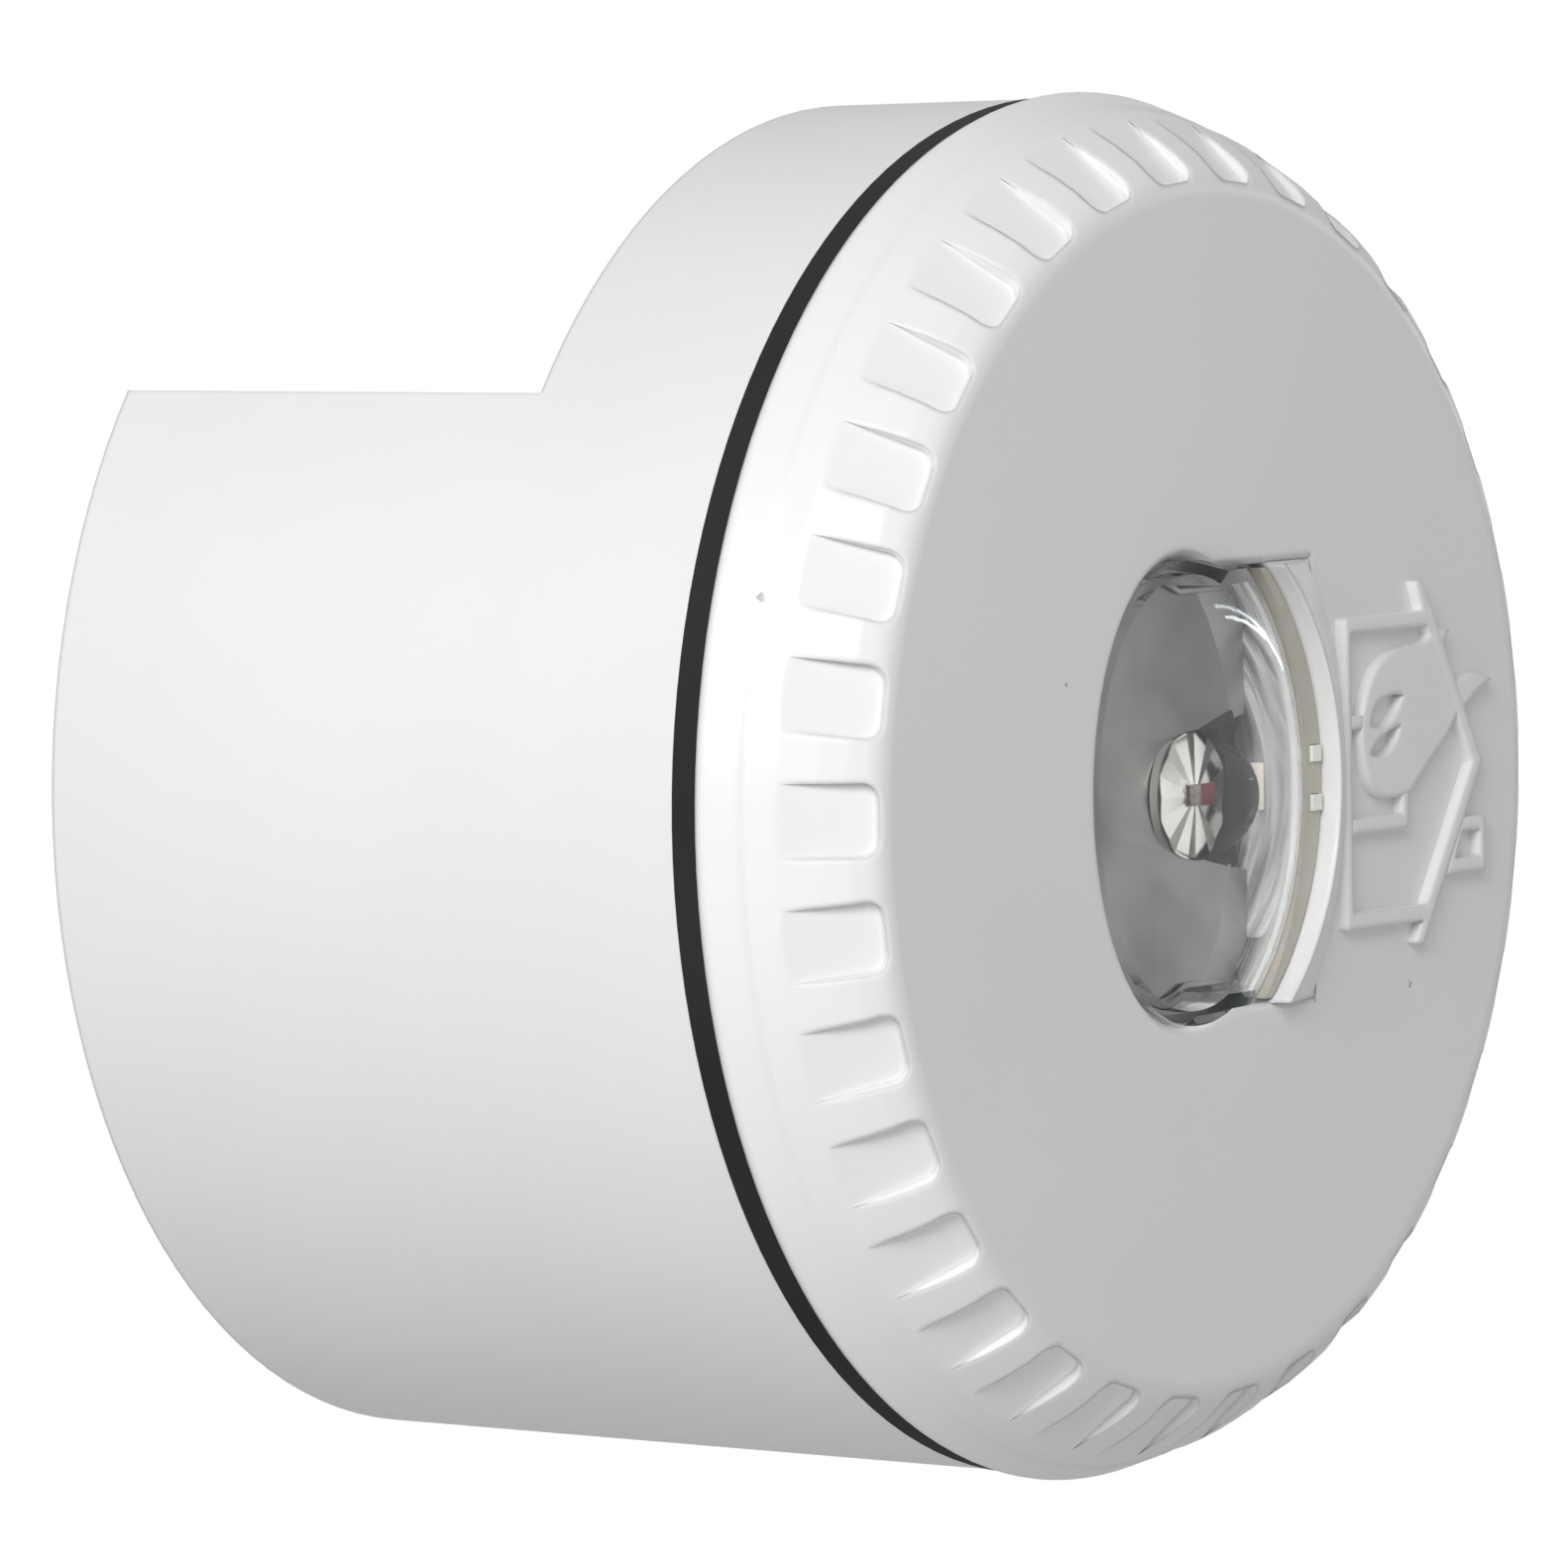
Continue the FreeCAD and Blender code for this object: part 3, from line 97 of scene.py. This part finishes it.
# Light
def add_lamp(name, place, width, height, power, colour, along=(0, 0, 1)):
    """A rectangular lamp turned to the beacon, with its width as near to the given direction as it can lie."""
    aim = Vector((0, -0.04, 0))
    data = bpy.data.lights.new(name, "AREA")
    data.shape = "RECTANGLE"
    data.size = width
    data.size_y = height
    data.energy = power
    data.color = colour
    lamp = bpy.data.objects.new(name, data)
    bpy.context.scene.collection.objects.link(lamp)
    lamp.location = place
    lamp.rotation_mode = "QUATERNION"
    back = (Vector(place) - aim).normalized()
    side = (Vector(along) - back * back.dot(Vector(along))).normalized()
    lamp.rotation_quaternion = Matrix((side, back.cross(side), back)).transposed().to_quaternion()


def build_surround():
    """Even soft light, and a white background for the camera, for clear pieces and, by half, for gloss."""
    glossy_share, ambient_strength = 0.5, 0.36
    world = bpy.data.worlds.new("white_surround")
    bpy.context.scene.world = world
    world.use_nodes = True
    tree = world.node_tree
    tree.nodes.clear()
    output = add_node(tree, "OutputWorld")
    path = add_node(tree, "LightPath")
    straight = add_node(tree, "Math", operation="MAXIMUM")
    mirrored = add_node(tree, "Math", {1: glossy_share}, operation="MULTIPLY")
    seen = add_node(tree, "Math", operation="MAXIMUM")
    ambient = add_node(tree, "Background", {"Color": (0.97, 0.985, 1.0, 1.0), "Strength": ambient_strength})
    backdrop = add_node(tree, "Background", {"Color": (1.0, 1.0, 1.0, 1.0), "Strength": 1.0})
    mix = add_node(tree, "MixShader")
    wire(tree,
         (path, "Is Camera Ray", straight, 0), (path, "Is Transmission Ray", straight, 1),
         (path, "Is Glossy Ray", mirrored, 0), (straight, 0, seen, 0), (mirrored, 0, seen, 1),
         (seen, 0, mix, "Fac"), (ambient, 0, mix, 1), (backdrop, 0, mix, 2), (mix, 0, output, "Surface"))


def light_scene():
    add_lamp("key", (-1.35, -0.30, 0.45), 0.6, 0.6, 11.0, (1.0, 0.995, 0.985))
    add_lamp("side_fill", (-0.38, -0.30, 0.24), 0.2, 0.2, 0.66, (1.0, 1.0, 1.0))
    add_lamp("strip", (1.35, -0.42, 0.29), 0.87, 0.011, 0.4, (0.92, 0.96, 1.0), along=(0.28, 0.79, -0.24))
    build_surround()


# Effects that several materials share
def new_group(name, inputs, outputs):
    group = bpy.data.node_groups.new(name, "ShaderNodeTree")
    for label, kind, value in inputs:
        socket = group.interface.new_socket(name=label, in_out="INPUT", socket_type=kind)
        socket.default_value = value
    for label, kind in outputs:
        group.interface.new_socket(name=label, in_out="OUTPUT", socket_type=kind)
    return group, group.nodes.new("NodeGroupInput"), group.nodes.new("NodeGroupOutput")


def build_grain_group():
    """The fine sparkle of a moulded surface, as a height for a bump."""
    group, given, result = new_group("moulded_grain", [("Scale", "NodeSocketFloat", 900.0)],
                                     [("Height", "NodeSocketFloat")])
    place = add_node(group, "TexCoord")
    fine = add_node(group, "TexNoise", {"Detail": 3.0})
    wire(group, (place, "Object", fine, "Vector"), (given, "Scale", fine, "Scale"), (fine, "Fac", result, "Height"))
    return group


def build_mottle_group():
    """Two near shades that drift into each other, and a roughness that drifts with them."""
    group, given, result = new_group(
        "mottle",
        [("Shade", "NodeSocketColor", (1, 1, 1, 1)), ("Other Shade", "NodeSocketColor", (1, 1, 1, 1)),
         ("Scale", "NodeSocketFloat", 30.0), ("Low", "NodeSocketFloat", 0.3), ("High", "NodeSocketFloat", 0.4)],
        [("Color", "NodeSocketColor"), ("Roughness", "NodeSocketFloat")])
    place = add_node(group, "TexCoord")
    cloud = add_node(group, "TexNoise", {"Detail": 4.0})
    spread = add_node(group, "MapRange", {"From Min": 0.35, "From Max": 0.65})
    mix = add_node(group, "Mix", data_type="RGBA")
    rough = add_node(group, "MapRange")
    wire(group,
         (place, "Object", cloud, "Vector"), (given, "Scale", cloud, "Scale"), (cloud, "Fac", spread, "Value"),
         (spread, "Result", mix, "Factor"), (given, "Shade", mix, "A"), (given, "Other Shade", mix, "B"),
         (mix, "Result", result, "Color"), (cloud, "Fac", rough, "Value"), (given, "Low", rough, "To Min"),
         (given, "High", rough, "To Max"), (rough, "Result", result, "Roughness"))
    return group


GRAIN = build_grain_group()
MOTTLE = build_mottle_group()


# Finishes
def shader_of(material):
    return material.node_tree.nodes["Principled BSDF"]


def pass_lamp_light(material, share):
    """Lets this share of the lamps' light through a clear piece, so it casts only a faint shadow."""
    tree = material.node_tree
    path = add_node(tree, "LightPath")
    veil = add_node(tree, "Math", {1: -share, 2: 1.0}, operation="MULTIPLY_ADD")
    wire(tree, (path, "Is Shadow Ray", veil, 0), (veil, 0, shader_of(material), "Alpha"))


def finish_material(name, shade, other, scale=30.0, rough=(0.3, 0.4), grain=900.0, depth=0.00001, bump=0.3,
                    clear=False, **constants):
    """A material with drifting shade and roughness and a fine moulded grain; constants go on the shader."""
    material = bpy.data.materials.new(name)
    material.use_nodes = True
    tree = material.node_tree
    shader = shader_of(material)
    low, high = rough
    mottle = add_node(tree, "Group", {"Shade": (*shade, 1), "Other Shade": (*other, 1), "Scale": scale, "Low": low,
                                      "High": high}, node_tree=MOTTLE)
    texture = add_node(tree, "Group", {"Scale": grain}, node_tree=GRAIN)
    relief = add_node(tree, "Bump", {"Strength": bump, "Distance": depth})
    wire(tree,
         (mottle, "Color", shader, "Base Color"), (mottle, "Roughness", shader, "Roughness"),
         (texture, "Height", relief, "Height"), (relief, "Normal", shader, "Normal"))
    for socket, value in constants.items():
        shader.inputs[socket.replace("_", " ")].default_value = value
    if clear:
        pass_lamp_light(material, 0.85)
    return material


def draw_streaks(material):
    """Long ripples that bow from top to bottom, as left by moulding a thick clear block; the same ripples paint darker
    and paler bands into its colour as painted shade, and the palest glow as painted highlights.
    """
    tree = material.node_tree
    shader = shader_of(material)
    place = add_node(tree, "TexCoord")
    split = add_node(tree, "SeparateXYZ")
    square = add_node(tree, "Math", operation="MULTIPLY")
    bow = add_node(tree, "Math", {1: -30.0}, operation="MULTIPLY_ADD")
    arcs = add_node(tree, "CombineXYZ")
    stretch = add_node(tree, "Mapping", {"Scale": (620.0, 75.0, 260.0)})
    ripple = add_node(tree, "TexNoise", {"Scale": 1.0, "Detail": 2.0})
    relief = add_node(tree, "Bump", {"Strength": 1.0, "Distance": 0.003})
    # painted shade and highlights: the ripples darken and pale the block's colour, and the palest glow through
    # emission
    shade = add_node(tree, "MapRange", {"From Min": 0.40, "From Max": 0.56, "To Min": 0.18, "To Max": 0.78})
    painted_glints = add_node(tree, "MapRange", {"From Min": 0.54, "From Max": 0.70, "To Max": 0.11})
    wire(tree,
         (place, "Object", split, "Vector"), (split, "Z", square, 0), (split, "Z", square, 1),
         (square, "Value", bow, 0), (split, "Y", bow, 2), (bow, "Value", arcs, "X"), (split, "Z", arcs, "Y"),
         (split, "X", arcs, "Z"), (arcs, "Vector", stretch, "Vector"), (stretch, "Vector", ripple, "Vector"),
         (ripple, "Fac", relief, "Height"), (ripple, "Fac", shade, "Value"), (ripple, "Fac", painted_glints, "Value"),
         (relief, "Normal", shader, "Normal"), (shade, "Result", shader, "Base Color"),
         (painted_glints, "Result", shader, "Emission Color"))


def soften_edges(material, radius):
    """Lets the light run round the moulded edges as if each had a small rounding."""
    tree = material.node_tree
    rounding = add_node(tree, "Bevel", {"Radius": radius}, samples=6)
    relief = shader_of(material).inputs["Normal"].links[0].from_node
    wire(tree, (rounding, "Normal", relief, "Normal"))


def tint_where(material, mask, outlet, tint):
    """Puts a tint over the material's colour, as far as the mask's output says."""
    tree = material.node_tree
    shader = shader_of(material)
    plain = shader.inputs["Base Color"].links[0].from_socket
    mix = add_node(tree, "Mix", {"B": (*tint, 1)}, data_type="RGBA")
    tree.links.new(plain, mix.inputs["A"])
    wire(tree, (mask, outlet, mix, "Factor"), (mix, "Result", shader, "Base Color"))


def paint_sheen_on_flat(material):
    """Paints a lighter sheen where the satin metal faces straight to the front, on the flat rim of the bowl and the
    middle of its hollow, on the side towards the clear block.
    """
    tree = material.node_tree
    place = add_node(tree, "TexCoord")
    facing = add_node(tree, "VectorMath", {1: (0.0, -1.0, 0.0)}, operation="DOT_PRODUCT")
    flat = add_node(tree, "MapRange", {"From Min": 0.985, "From Max": 0.9995})
    split = add_node(tree, "SeparateXYZ")
    side = add_node(tree, "MapRange", {"From Min": 0.0, "From Max": 0.006})
    painted_sheen_mask = add_node(tree, "Math", operation="MULTIPLY")
    wire(tree,
         (place, "Normal", facing, 0), (facing, "Value", flat, "Value"), (place, "Object", split, "Vector"),
         (split, "X", side, "Value"), (flat, "Result", painted_sheen_mask, 0), (side, "Result", painted_sheen_mask, 1))
    tint_where(material, painted_sheen_mask, "Value", (0.38, 0.384, 0.38))


def add_specks(material):
    """A few tiny grey specks of dirt, far apart."""
    tree = material.node_tree
    place = add_node(tree, "TexCoord")
    wobble = add_node(tree, "TexNoise", {"Scale": 2500.0})
    drift = add_node(tree, "VectorMath", {1: (0.0006, 0.0006, 0.0006)}, operation="MULTIPLY_ADD")
    cells = add_node(tree, "TexVoronoi", {"Scale": 105.0})
    dot = add_node(tree, "Math", {1: 0.032}, operation="LESS_THAN")
    wire(tree,
         (place, "Object", wobble, "Vector"), (wobble, "Color", drift, 0), (place, "Object", drift, 2),
         (drift, "Vector", cells, "Vector"), (cells, "Distance", dot, 0))
    tint_where(material, dot, 0, (0.42, 0.40, 0.40))


FINISHES = {
    "base_white": dict(shade=(0.775, 0.778, 0.77), other=(0.745, 0.748, 0.738), scale=25, rough=(0.46, 0.56),
                       grain=1500, depth=0.00004, bump=0.35, Specular_IOR_Level=0.4),
    "cover_white": dict(shade=(0.80, 0.808, 0.812), other=(0.775, 0.782, 0.788), scale=20, rough=(0.2, 0.3),
                        grain=700, depth=0.00002, bump=0.12),
    "inner_plastic": dict(shade=(0.72, 0.72, 0.70), other=(0.68, 0.68, 0.66), scale=40, rough=(0.4, 0.5)),
    "black_plastic": dict(shade=(0.02, 0.02, 0.022), other=(0.03, 0.03, 0.032), scale=60, rough=(0.35, 0.5)),
    "black_rubber": dict(shade=(0.013, 0.011, 0.012), other=(0.019, 0.016, 0.017), scale=70, rough=(0.65, 0.8),
                         grain=1200, depth=0.00005, bump=0.4, Specular_IOR_Level=0.25),
    "pale_bar": dict(shade=(0.51, 0.485, 0.42), other=(0.45, 0.425, 0.365), scale=90, rough=(0.25, 0.4)),
    "light_window": dict(shade=(0.86, 0.86, 0.82), other=(0.78, 0.78, 0.74), scale=400, rough=(0.15, 0.3)),
    "satin_metal": dict(shade=(0.385, 0.376, 0.362), other=(0.20, 0.196, 0.188), scale=60, rough=(0.28, 0.42),
                        Metallic=1.0),
    "plain_aluminium": dict(shade=(0.70, 0.71, 0.73), other=(0.64, 0.65, 0.67), scale=90, rough=(0.3, 0.45),
                            Metallic=1.0),
    "steel": dict(shade=(0.60, 0.61, 0.63), other=(0.52, 0.53, 0.55), scale=200, rough=(0.25, 0.4), Metallic=1.0),
    "brass": dict(shade=(0.72, 0.55, 0.26), other=(0.64, 0.47, 0.21), scale=150, rough=(0.25, 0.4), Metallic=1.0),
    "green_board": dict(shade=(0.02, 0.12, 0.05), other=(0.015, 0.09, 0.04), scale=120),
    "clear_lens": dict(shade=(0.97, 0.98, 0.98), other=(0.95, 0.965, 0.97), scale=50, rough=(0.02, 0.05),
                       grain=200, bump=0.05, clear=True, Transmission_Weight=1.0, IOR=1.2, Coat_Weight=0.3),
    "cup_silver": dict(shade=(0.92, 0.90, 0.87), other=(0.84, 0.82, 0.79), scale=300, rough=(0.15, 0.25),
                       Metallic=1.0),
    "chip_red": dict(shade=(0.20, 0.014, 0.016), other=(0.10, 0.012, 0.014), scale=1500, rough=(0.3, 0.5)),
    "chip_grey": dict(shade=(0.12, 0.10, 0.09), other=(0.30, 0.27, 0.25), scale=2500, rough=(0.3, 0.5)),
    "clear_dome": dict(shade=(0.97, 0.97, 0.96), other=(0.95, 0.95, 0.94), scale=200, rough=(0.02, 0.05),
                       grain=300, bump=0.05, clear=True, Transmission_Weight=1.0, IOR=1.06, Coat_Weight=0.2),
    # its emission shows the painted highlights of the streaks
    "streaky_block": dict(shade=(0.97, 0.97, 0.98), other=(0.93, 0.94, 0.95), scale=200, rough=(0.02, 0.08),
                          clear=True, Transmission_Weight=0.6, IOR=1.3, Emission_Strength=1.0),
    # near-black painted shade for the sheet over the well's mouth
    "painted_well_shade": dict(shade=(0.010, 0.008, 0.008), other=(0.045, 0.046, 0.052), scale=330, rough=(0.4, 0.6),
                      grain=300, bump=0.1, Specular_IOR_Level=0.1),
    # the seal's emission is painted light: it glows faintly though it is no lamp
    "grey_seal_painted_glow": dict(shade=(0.33, 0.33, 0.33), other=(0.26, 0.26, 0.26), scale=100, rough=(0.6, 0.8),
                           Emission_Color=(0.30, 0.29, 0.28, 1), Emission_Strength=0.4),
    "tab_beige": dict(shade=(0.72, 0.67, 0.58), other=(0.62, 0.58, 0.50), scale=300, rough=(0.3, 0.5)),
    "floor_paint": dict(shade=(0.86, 0.86, 0.86), other=(0.84, 0.84, 0.84), scale=4, rough=(0.7, 0.8)),
}

# Solids seen through the clear lens, which take another finish than their slot in the record
SEEN_THROUGH = {"side_prism": "streaky_block", "lens_seal": "grey_seal_painted_glow", "lens_clamp": "grey_seal_painted_glow",
                "led_carrier": "cup_silver"}


def make_finishes():
    finishes = {name: finish_material(name, **looks) for name, looks in FINISHES.items()}
    draw_streaks(finishes["streaky_block"])
    soften_edges(finishes["cover_white"], 0.0007)
    soften_edges(finishes["base_white"], 0.0005)
    add_specks(finishes["cover_white"])
    # painted sheen on the front-facing flats of the satin metal
    paint_sheen_on_flat(finishes["satin_metal"])
    return finishes


def dress_nodes(finishes):
    """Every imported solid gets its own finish."""
    slot_of = {item["node"]: item["material_slot"] for item in frame["record"]["subparts"]}
    for name, solid in frame["nodes"].items():
        solid.data.materials.clear()
        solid.data.materials.append(finishes[SEEN_THROUGH.get(name, slot_of[name])])


# How a new piece is made and finished
def use_only(piece):
    bpy.ops.object.select_all(action="DESELECT")
    piece.select_set(True)
    bpy.context.view_layer.objects.active = piece


def new_primitive(name, operator, **sizes):
    """A primitive that stands alone in the selection."""
    bpy.ops.object.select_all(action="DESELECT")
    operator(**sizes)
    piece = bpy.context.active_object
    piece.name = name
    return piece


def apply_modifier(piece, kind, **settings):
    modifier = piece.modifiers.new("shaping", kind)
    for setting, value in settings.items():
        setattr(modifier, setting, value)
    use_only(piece)
    bpy.ops.object.modifier_apply(modifier=modifier.name)


def draw_outline(name, loops, height):
    """A flat outline with holes, given its height and soft edges.

    Each loop is a list of (x, y, kind), where kind is VECTOR for a sharp corner and AUTO for a rounded run.
    """
    drawing = bpy.data.curves.new(name, "CURVE")
    drawing.dimensions = "2D"
    drawing.fill_mode = "BOTH"
    drawing.resolution_u = 10
    drawing.extrude = height / 2 - SOFT_EDGE_MM
    drawing.bevel_depth = SOFT_EDGE_MM
    drawing.bevel_resolution = 2
    drawing.offset = -SOFT_EDGE_MM
    for loop in loops:
        run = drawing.splines.new("BEZIER")
        run.bezier_points.add(len(loop) - 1)
        run.use_cyclic_u = True
        for point, (x, y, kind) in zip(run.bezier_points, loop):
            point.co = (x, y, 0)
            point.handle_left_type = point.handle_right_type = kind
    piece = bpy.data.objects.new(name, drawing)
    bpy.context.scene.collection.objects.link(piece)
    use_only(piece)
    bpy.ops.object.convert(target="MESH")
    return bpy.context.active_object


def set_on_head(piece, level, x=0.0, y=0.0):
    """Takes a piece that is drawn in millimetres to its place on the head."""
    piece.data.transform(Matrix.Translation((x, y, level)))
    piece.data.transform(Matrix.Rotation(math.radians(90), 4, "X"))
    piece.data.transform(HEAD_PLACE)
    piece.data.update()


def finish_piece(piece, material, angle=35):
    """Gives a piece its smooth shading, finish and slot, and lets it ride on the head."""
    use_only(piece)
    bpy.ops.object.shade_smooth_by_angle(angle=math.radians(angle))
    piece.data.materials.clear()
    piece.data.materials.append(material)
    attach(piece, "head")


def sharp(*points):
    return [(x, y, "VECTOR") for x, y in points]


# Pieces on the face of the head
def raise_fire_sign(material):
    """The moulded sign of a house on fire, lying on its side in front of the lip."""
    house = [sharp((17.4, -11.4), (28.2, -11.4), (27.2, -13.0), (28.1, -13.2), (37.0, 0.0), (28.5, 13.8), (27.6, 13.8),
                   (28.6, 11.5), (17.5, 11.5)),
             sharp((18.2, -10.2), (18.2, 10.4), (29.2, 10.4), (35.6, 0.0), (28.7, -10.2))]
    chimney = [sharp((31.6, -8.2), (37.35, -8.2), (37.35, -4.1), (33.9, -4.1)),
               sharp((32.9, -7.1), (34.0, -5.1), (36.5, -5.1), (36.5, -7.1))]
    door = [sharp((18.2, -4.4), (26.2, -4.4), (26.4, -1.4), (25.4, -1.4), (25.4, -3.3), (18.2, -3.3))]
    tie = [sharp((18.0, 3.3), (20.0, 3.3), (20.0, 4.3), (18.0, 4.3))]
    flame = [[(29.9, 10.3, "VECTOR"), (29.4, 9.5, "AUTO"), (26.4, 9.0, "AUTO"), (23.9, 8.6, "AUTO"),
              (21.6, 7.3, "AUTO"), (20.1, 4.9, "AUTO"), (19.7, 3.2, "AUTO"), (20.1, 0.6, "AUTO"), (21.0, -1.0, "AUTO"),
              (22.3, -1.8, "AUTO"), (26.3, -1.9, "VECTOR"), (29.2, 0.3, "VECTOR"), (32.2, 2.4, "AUTO"),
              (33.6, 3.8, "VECTOR"), (34.8, 4.3, "AUTO"), (36.4, 5.2, "AUTO"), (38.6, 6.0, "VECTOR"),
              (36.3, 6.5, "AUTO"), (33.4, 6.1, "VECTOR"), (32.6, 6.9, "AUTO"), (31.7, 9.2, "AUTO"),
              (32.4, 9.9, "VECTOR"), (31.0, 10.1, "AUTO")],
             [(25.7, 5.5, "VECTOR"), (23.4, 5.5, "AUTO"), (21.6, 4.8, "AUTO"), (20.9, 3.4, "VECTOR"),
              (22.8, 3.2, "AUTO"), (24.4, 4.0, "AUTO")],
             [(25.2, 3.3, "VECTOR"), (23.5, 2.9, "AUTO"), (21.8, 2.2, "AUTO"), (20.8, 1.3, "VECTOR"),
              (22.6, 1.1, "AUTO"), (24.3, 1.9, "AUTO")]]
    # Each piece is a hair lower than the one it crosses, so that no two faces share a plane
    for name, loops, lower in (("sign_house", house, 0.0), ("sign_chimney", chimney, 0.02), ("sign_door", door, 0.02),
                               ("sign_tie", tie, 0.03), ("sign_flame", flame, 0.01)):
        height = SIGN_HEIGHT_MM - lower
        piece = draw_outline(name, loops, height)
        set_on_head(piece, FACE_LEVEL_MM - SIGN_FOOT_MM + height / 2)
        finish_piece(piece, material)


def window_edge(inset):
    """The outline of the lens window, made smaller all round."""
    spokes, nearest, furthest, tolerance = 144, 1.0, 30.0, 0.002

    def inside(x, y):
        across = (x - WINDOW_X_MM) / (WINDOW_HALF_WIDTH_MM - inset)
        round_side = across ** 2 + (y / (WINDOW_HALF_HEIGHT_MM - inset)) ** 2 < 1
        straight_side = x > WINDOW_X_MM and abs(y) < STRAIGHT_HALF_HEIGHT_MM - inset
        return (round_side or straight_side) and math.hypot(x - LIP_X_MM, y) < LIP_RADIUS_MM - inset

    points = []
    for spoke in range(spokes):
        turn = 2 * math.pi * spoke / spokes
        low, high = nearest, furthest
        while high - low > tolerance:
            reach = (low + high) / 2
            if inside(reach * math.cos(turn), reach * math.sin(turn)):
                low = reach
            else:
                high = reach
        points.append((low * math.cos(turn), low * math.sin(turn)))
    return sharp(*points)


def close_lens_gap(material):
    """The satin lip that closes the gap between the bowl and the wall of the lens."""
    lip = draw_outline("bowl_lip", [window_edge(inset=1.62), window_edge(inset=2.1)], height=0.25)
    set_on_head(lip, 65.5)
    finish_piece(lip, material, angle=50)


# Pieces round the light source
def make_star(material):
    """The pleated silver star under the clear dome of the light source."""
    half_width, half_height, pleats, points_per_pleat = 4.1, 4.6, 9, 8
    peak, valley, pleat_height = 0.6, 0.12, 0.24
    star = new_primitive("light_star", bpy.ops.mesh.primitive_circle_add, vertices=pleats * points_per_pleat,
                         radius=1.0, fill_type="TRIFAN")
    for vertex in star.data.vertices:
        phase = (math.atan2(vertex.co.y, vertex.co.x) / (2 * math.pi) * pleats) % 1
        ridge = valley + pleat_height * (1 - abs(2 * phase - 1))
        is_middle = vertex.co.xy.length < 0.1
        vertex.co = (vertex.co.x * half_width, vertex.co.y * half_height, peak if is_middle else ridge)
    apply_modifier(star, "SOLIDIFY", thickness=0.1)
    set_on_head(star, LED_LEVEL_MM, LED_X_MM - 0.55, LED_Y_MM)
    finish_piece(star, material, angle=5)


def make_chip(name, size, place, material):
    """A small soft-edged block, placed from the middle of the light source's base."""
    chip = new_primitive(name, bpy.ops.mesh.primitive_cube_add, size=1.0)
    chip.data.transform(Matrix.Diagonal((*size, 1)))
    apply_modifier(chip, "BEVEL", width=0.05, segments=2)
    x, y, level = place
    set_on_head(chip, LED_LEVEL_MM + level, LED_X_MM + x, LED_Y_MM + y)
    finish_piece(chip, material)


def bowl_level(x, y):
    """How far in front of the wall the satin bowl lies, up to its flat front."""
    room = max(0.05, 1 - ((x - BOWL_X_MM) / BOWL_HALF_WIDTH_MM) ** 2 - (y / BOWL_HALF_HEIGHT_MM) ** 2)
    return min(BOWL_FRONT_LEVEL_MM, BOWL_RIM_LEVEL_MM - BOWL_SINK_MM * math.sqrt(room))


def make_well_shade_sheet(material):
    """A dark sheet laid on the bowl over the mouth of the well between the light source and the clear block, as
    painted shade for the well's shadowed depth.
    """
    columns, lift = 5, 0.05
    # Height of each row and where it starts and ends, from the top down
    rows = [(5.3, 6.5, 6.75), (4.9, 5.7, 7.0), (4.5, 4.9, 7.05), (4.05, 3.9, 7.1), (3.1, 4.7, 7.1), (1.8, 6.0, 7.3),
            (0.6, 6.15, 8.3), (-0.4, 6.05, 8.5), (-1.4, 5.8, 8.4), (-2.8, 5.8, 7.3), (-4.2, 5.0, 7.1),
            (-5.3, 3.9, 7.1), (-5.6, 4.9, 7.0), (-6.05, 6.5, 6.75)]
    mouth = new_primitive("well_shade_sheet", bpy.ops.mesh.primitive_grid_add, x_subdivisions=columns,
                          y_subdivisions=len(rows) - 1, size=1.0)
    for vertex in mouth.data.vertices:
        y, left, right = rows[round((0.5 - vertex.co.y) * (len(rows) - 1))]
        x = left + (right - left) * (vertex.co.x + 0.5)
        vertex.co = (x, y, bowl_level(x, y) + lift)
    apply_modifier(mouth, "SOLIDIFY", thickness=0.08)
    set_on_head(mouth, 0)
    finish_piece(mouth, material, angle=40)


def make_light_rim(material):
    """The sloping rim that closes the gap round the foot of the light source."""
    rim = new_primitive("light_rim", bpy.ops.mesh.primitive_cone_add, vertices=64, radius1=5.25, radius2=4.45,
                        depth=0.4, end_fill_type="NOTHING")
    apply_modifier(rim, "SOLIDIFY", thickness=0.06)
    set_on_head(rim, LED_LEVEL_MM - 0.1, LED_X_MM, LED_Y_MM)
    finish_piece(rim, material, angle=40)


# Stage
def lay_floor(material):
    """A plain pale floor, far enough below the beacon to stay out of the photograph's view."""
    floor = new_primitive("floor", bpy.ops.mesh.primitive_plane_add, size=3.0, location=(0, 0, -0.35))
    floor.data.materials.append(material)


place_camera()
light_scene()
finishes = make_finishes()
dress_nodes(finishes)
raise_fire_sign(finishes["cover_white"])
make_star(finishes["cup_silver"])
make_chip("light_frame", (1.2, 1.5, 0.22), (-0.8, 0.05, 0.75), finishes["chip_grey"])
make_chip("light_chip", (1.7, 1.5, 0.22), (0.65, 0.05, 0.75), finishes["chip_red"])
make_chip("block_tab", (0.15, 3.4, 1.2), (4.75, 0.4, 2.3), finishes["tab_beige"])
# a dark sheet of painted shade over the well's mouth
make_well_shade_sheet(finishes["painted_well_shade"])
make_light_rim(finishes["satin_metal"])
close_lens_gap(finishes["satin_metal"])
lay_floor(finishes["floor_paint"])
bpy.context.scene.view_settings.view_transform = "Standard"
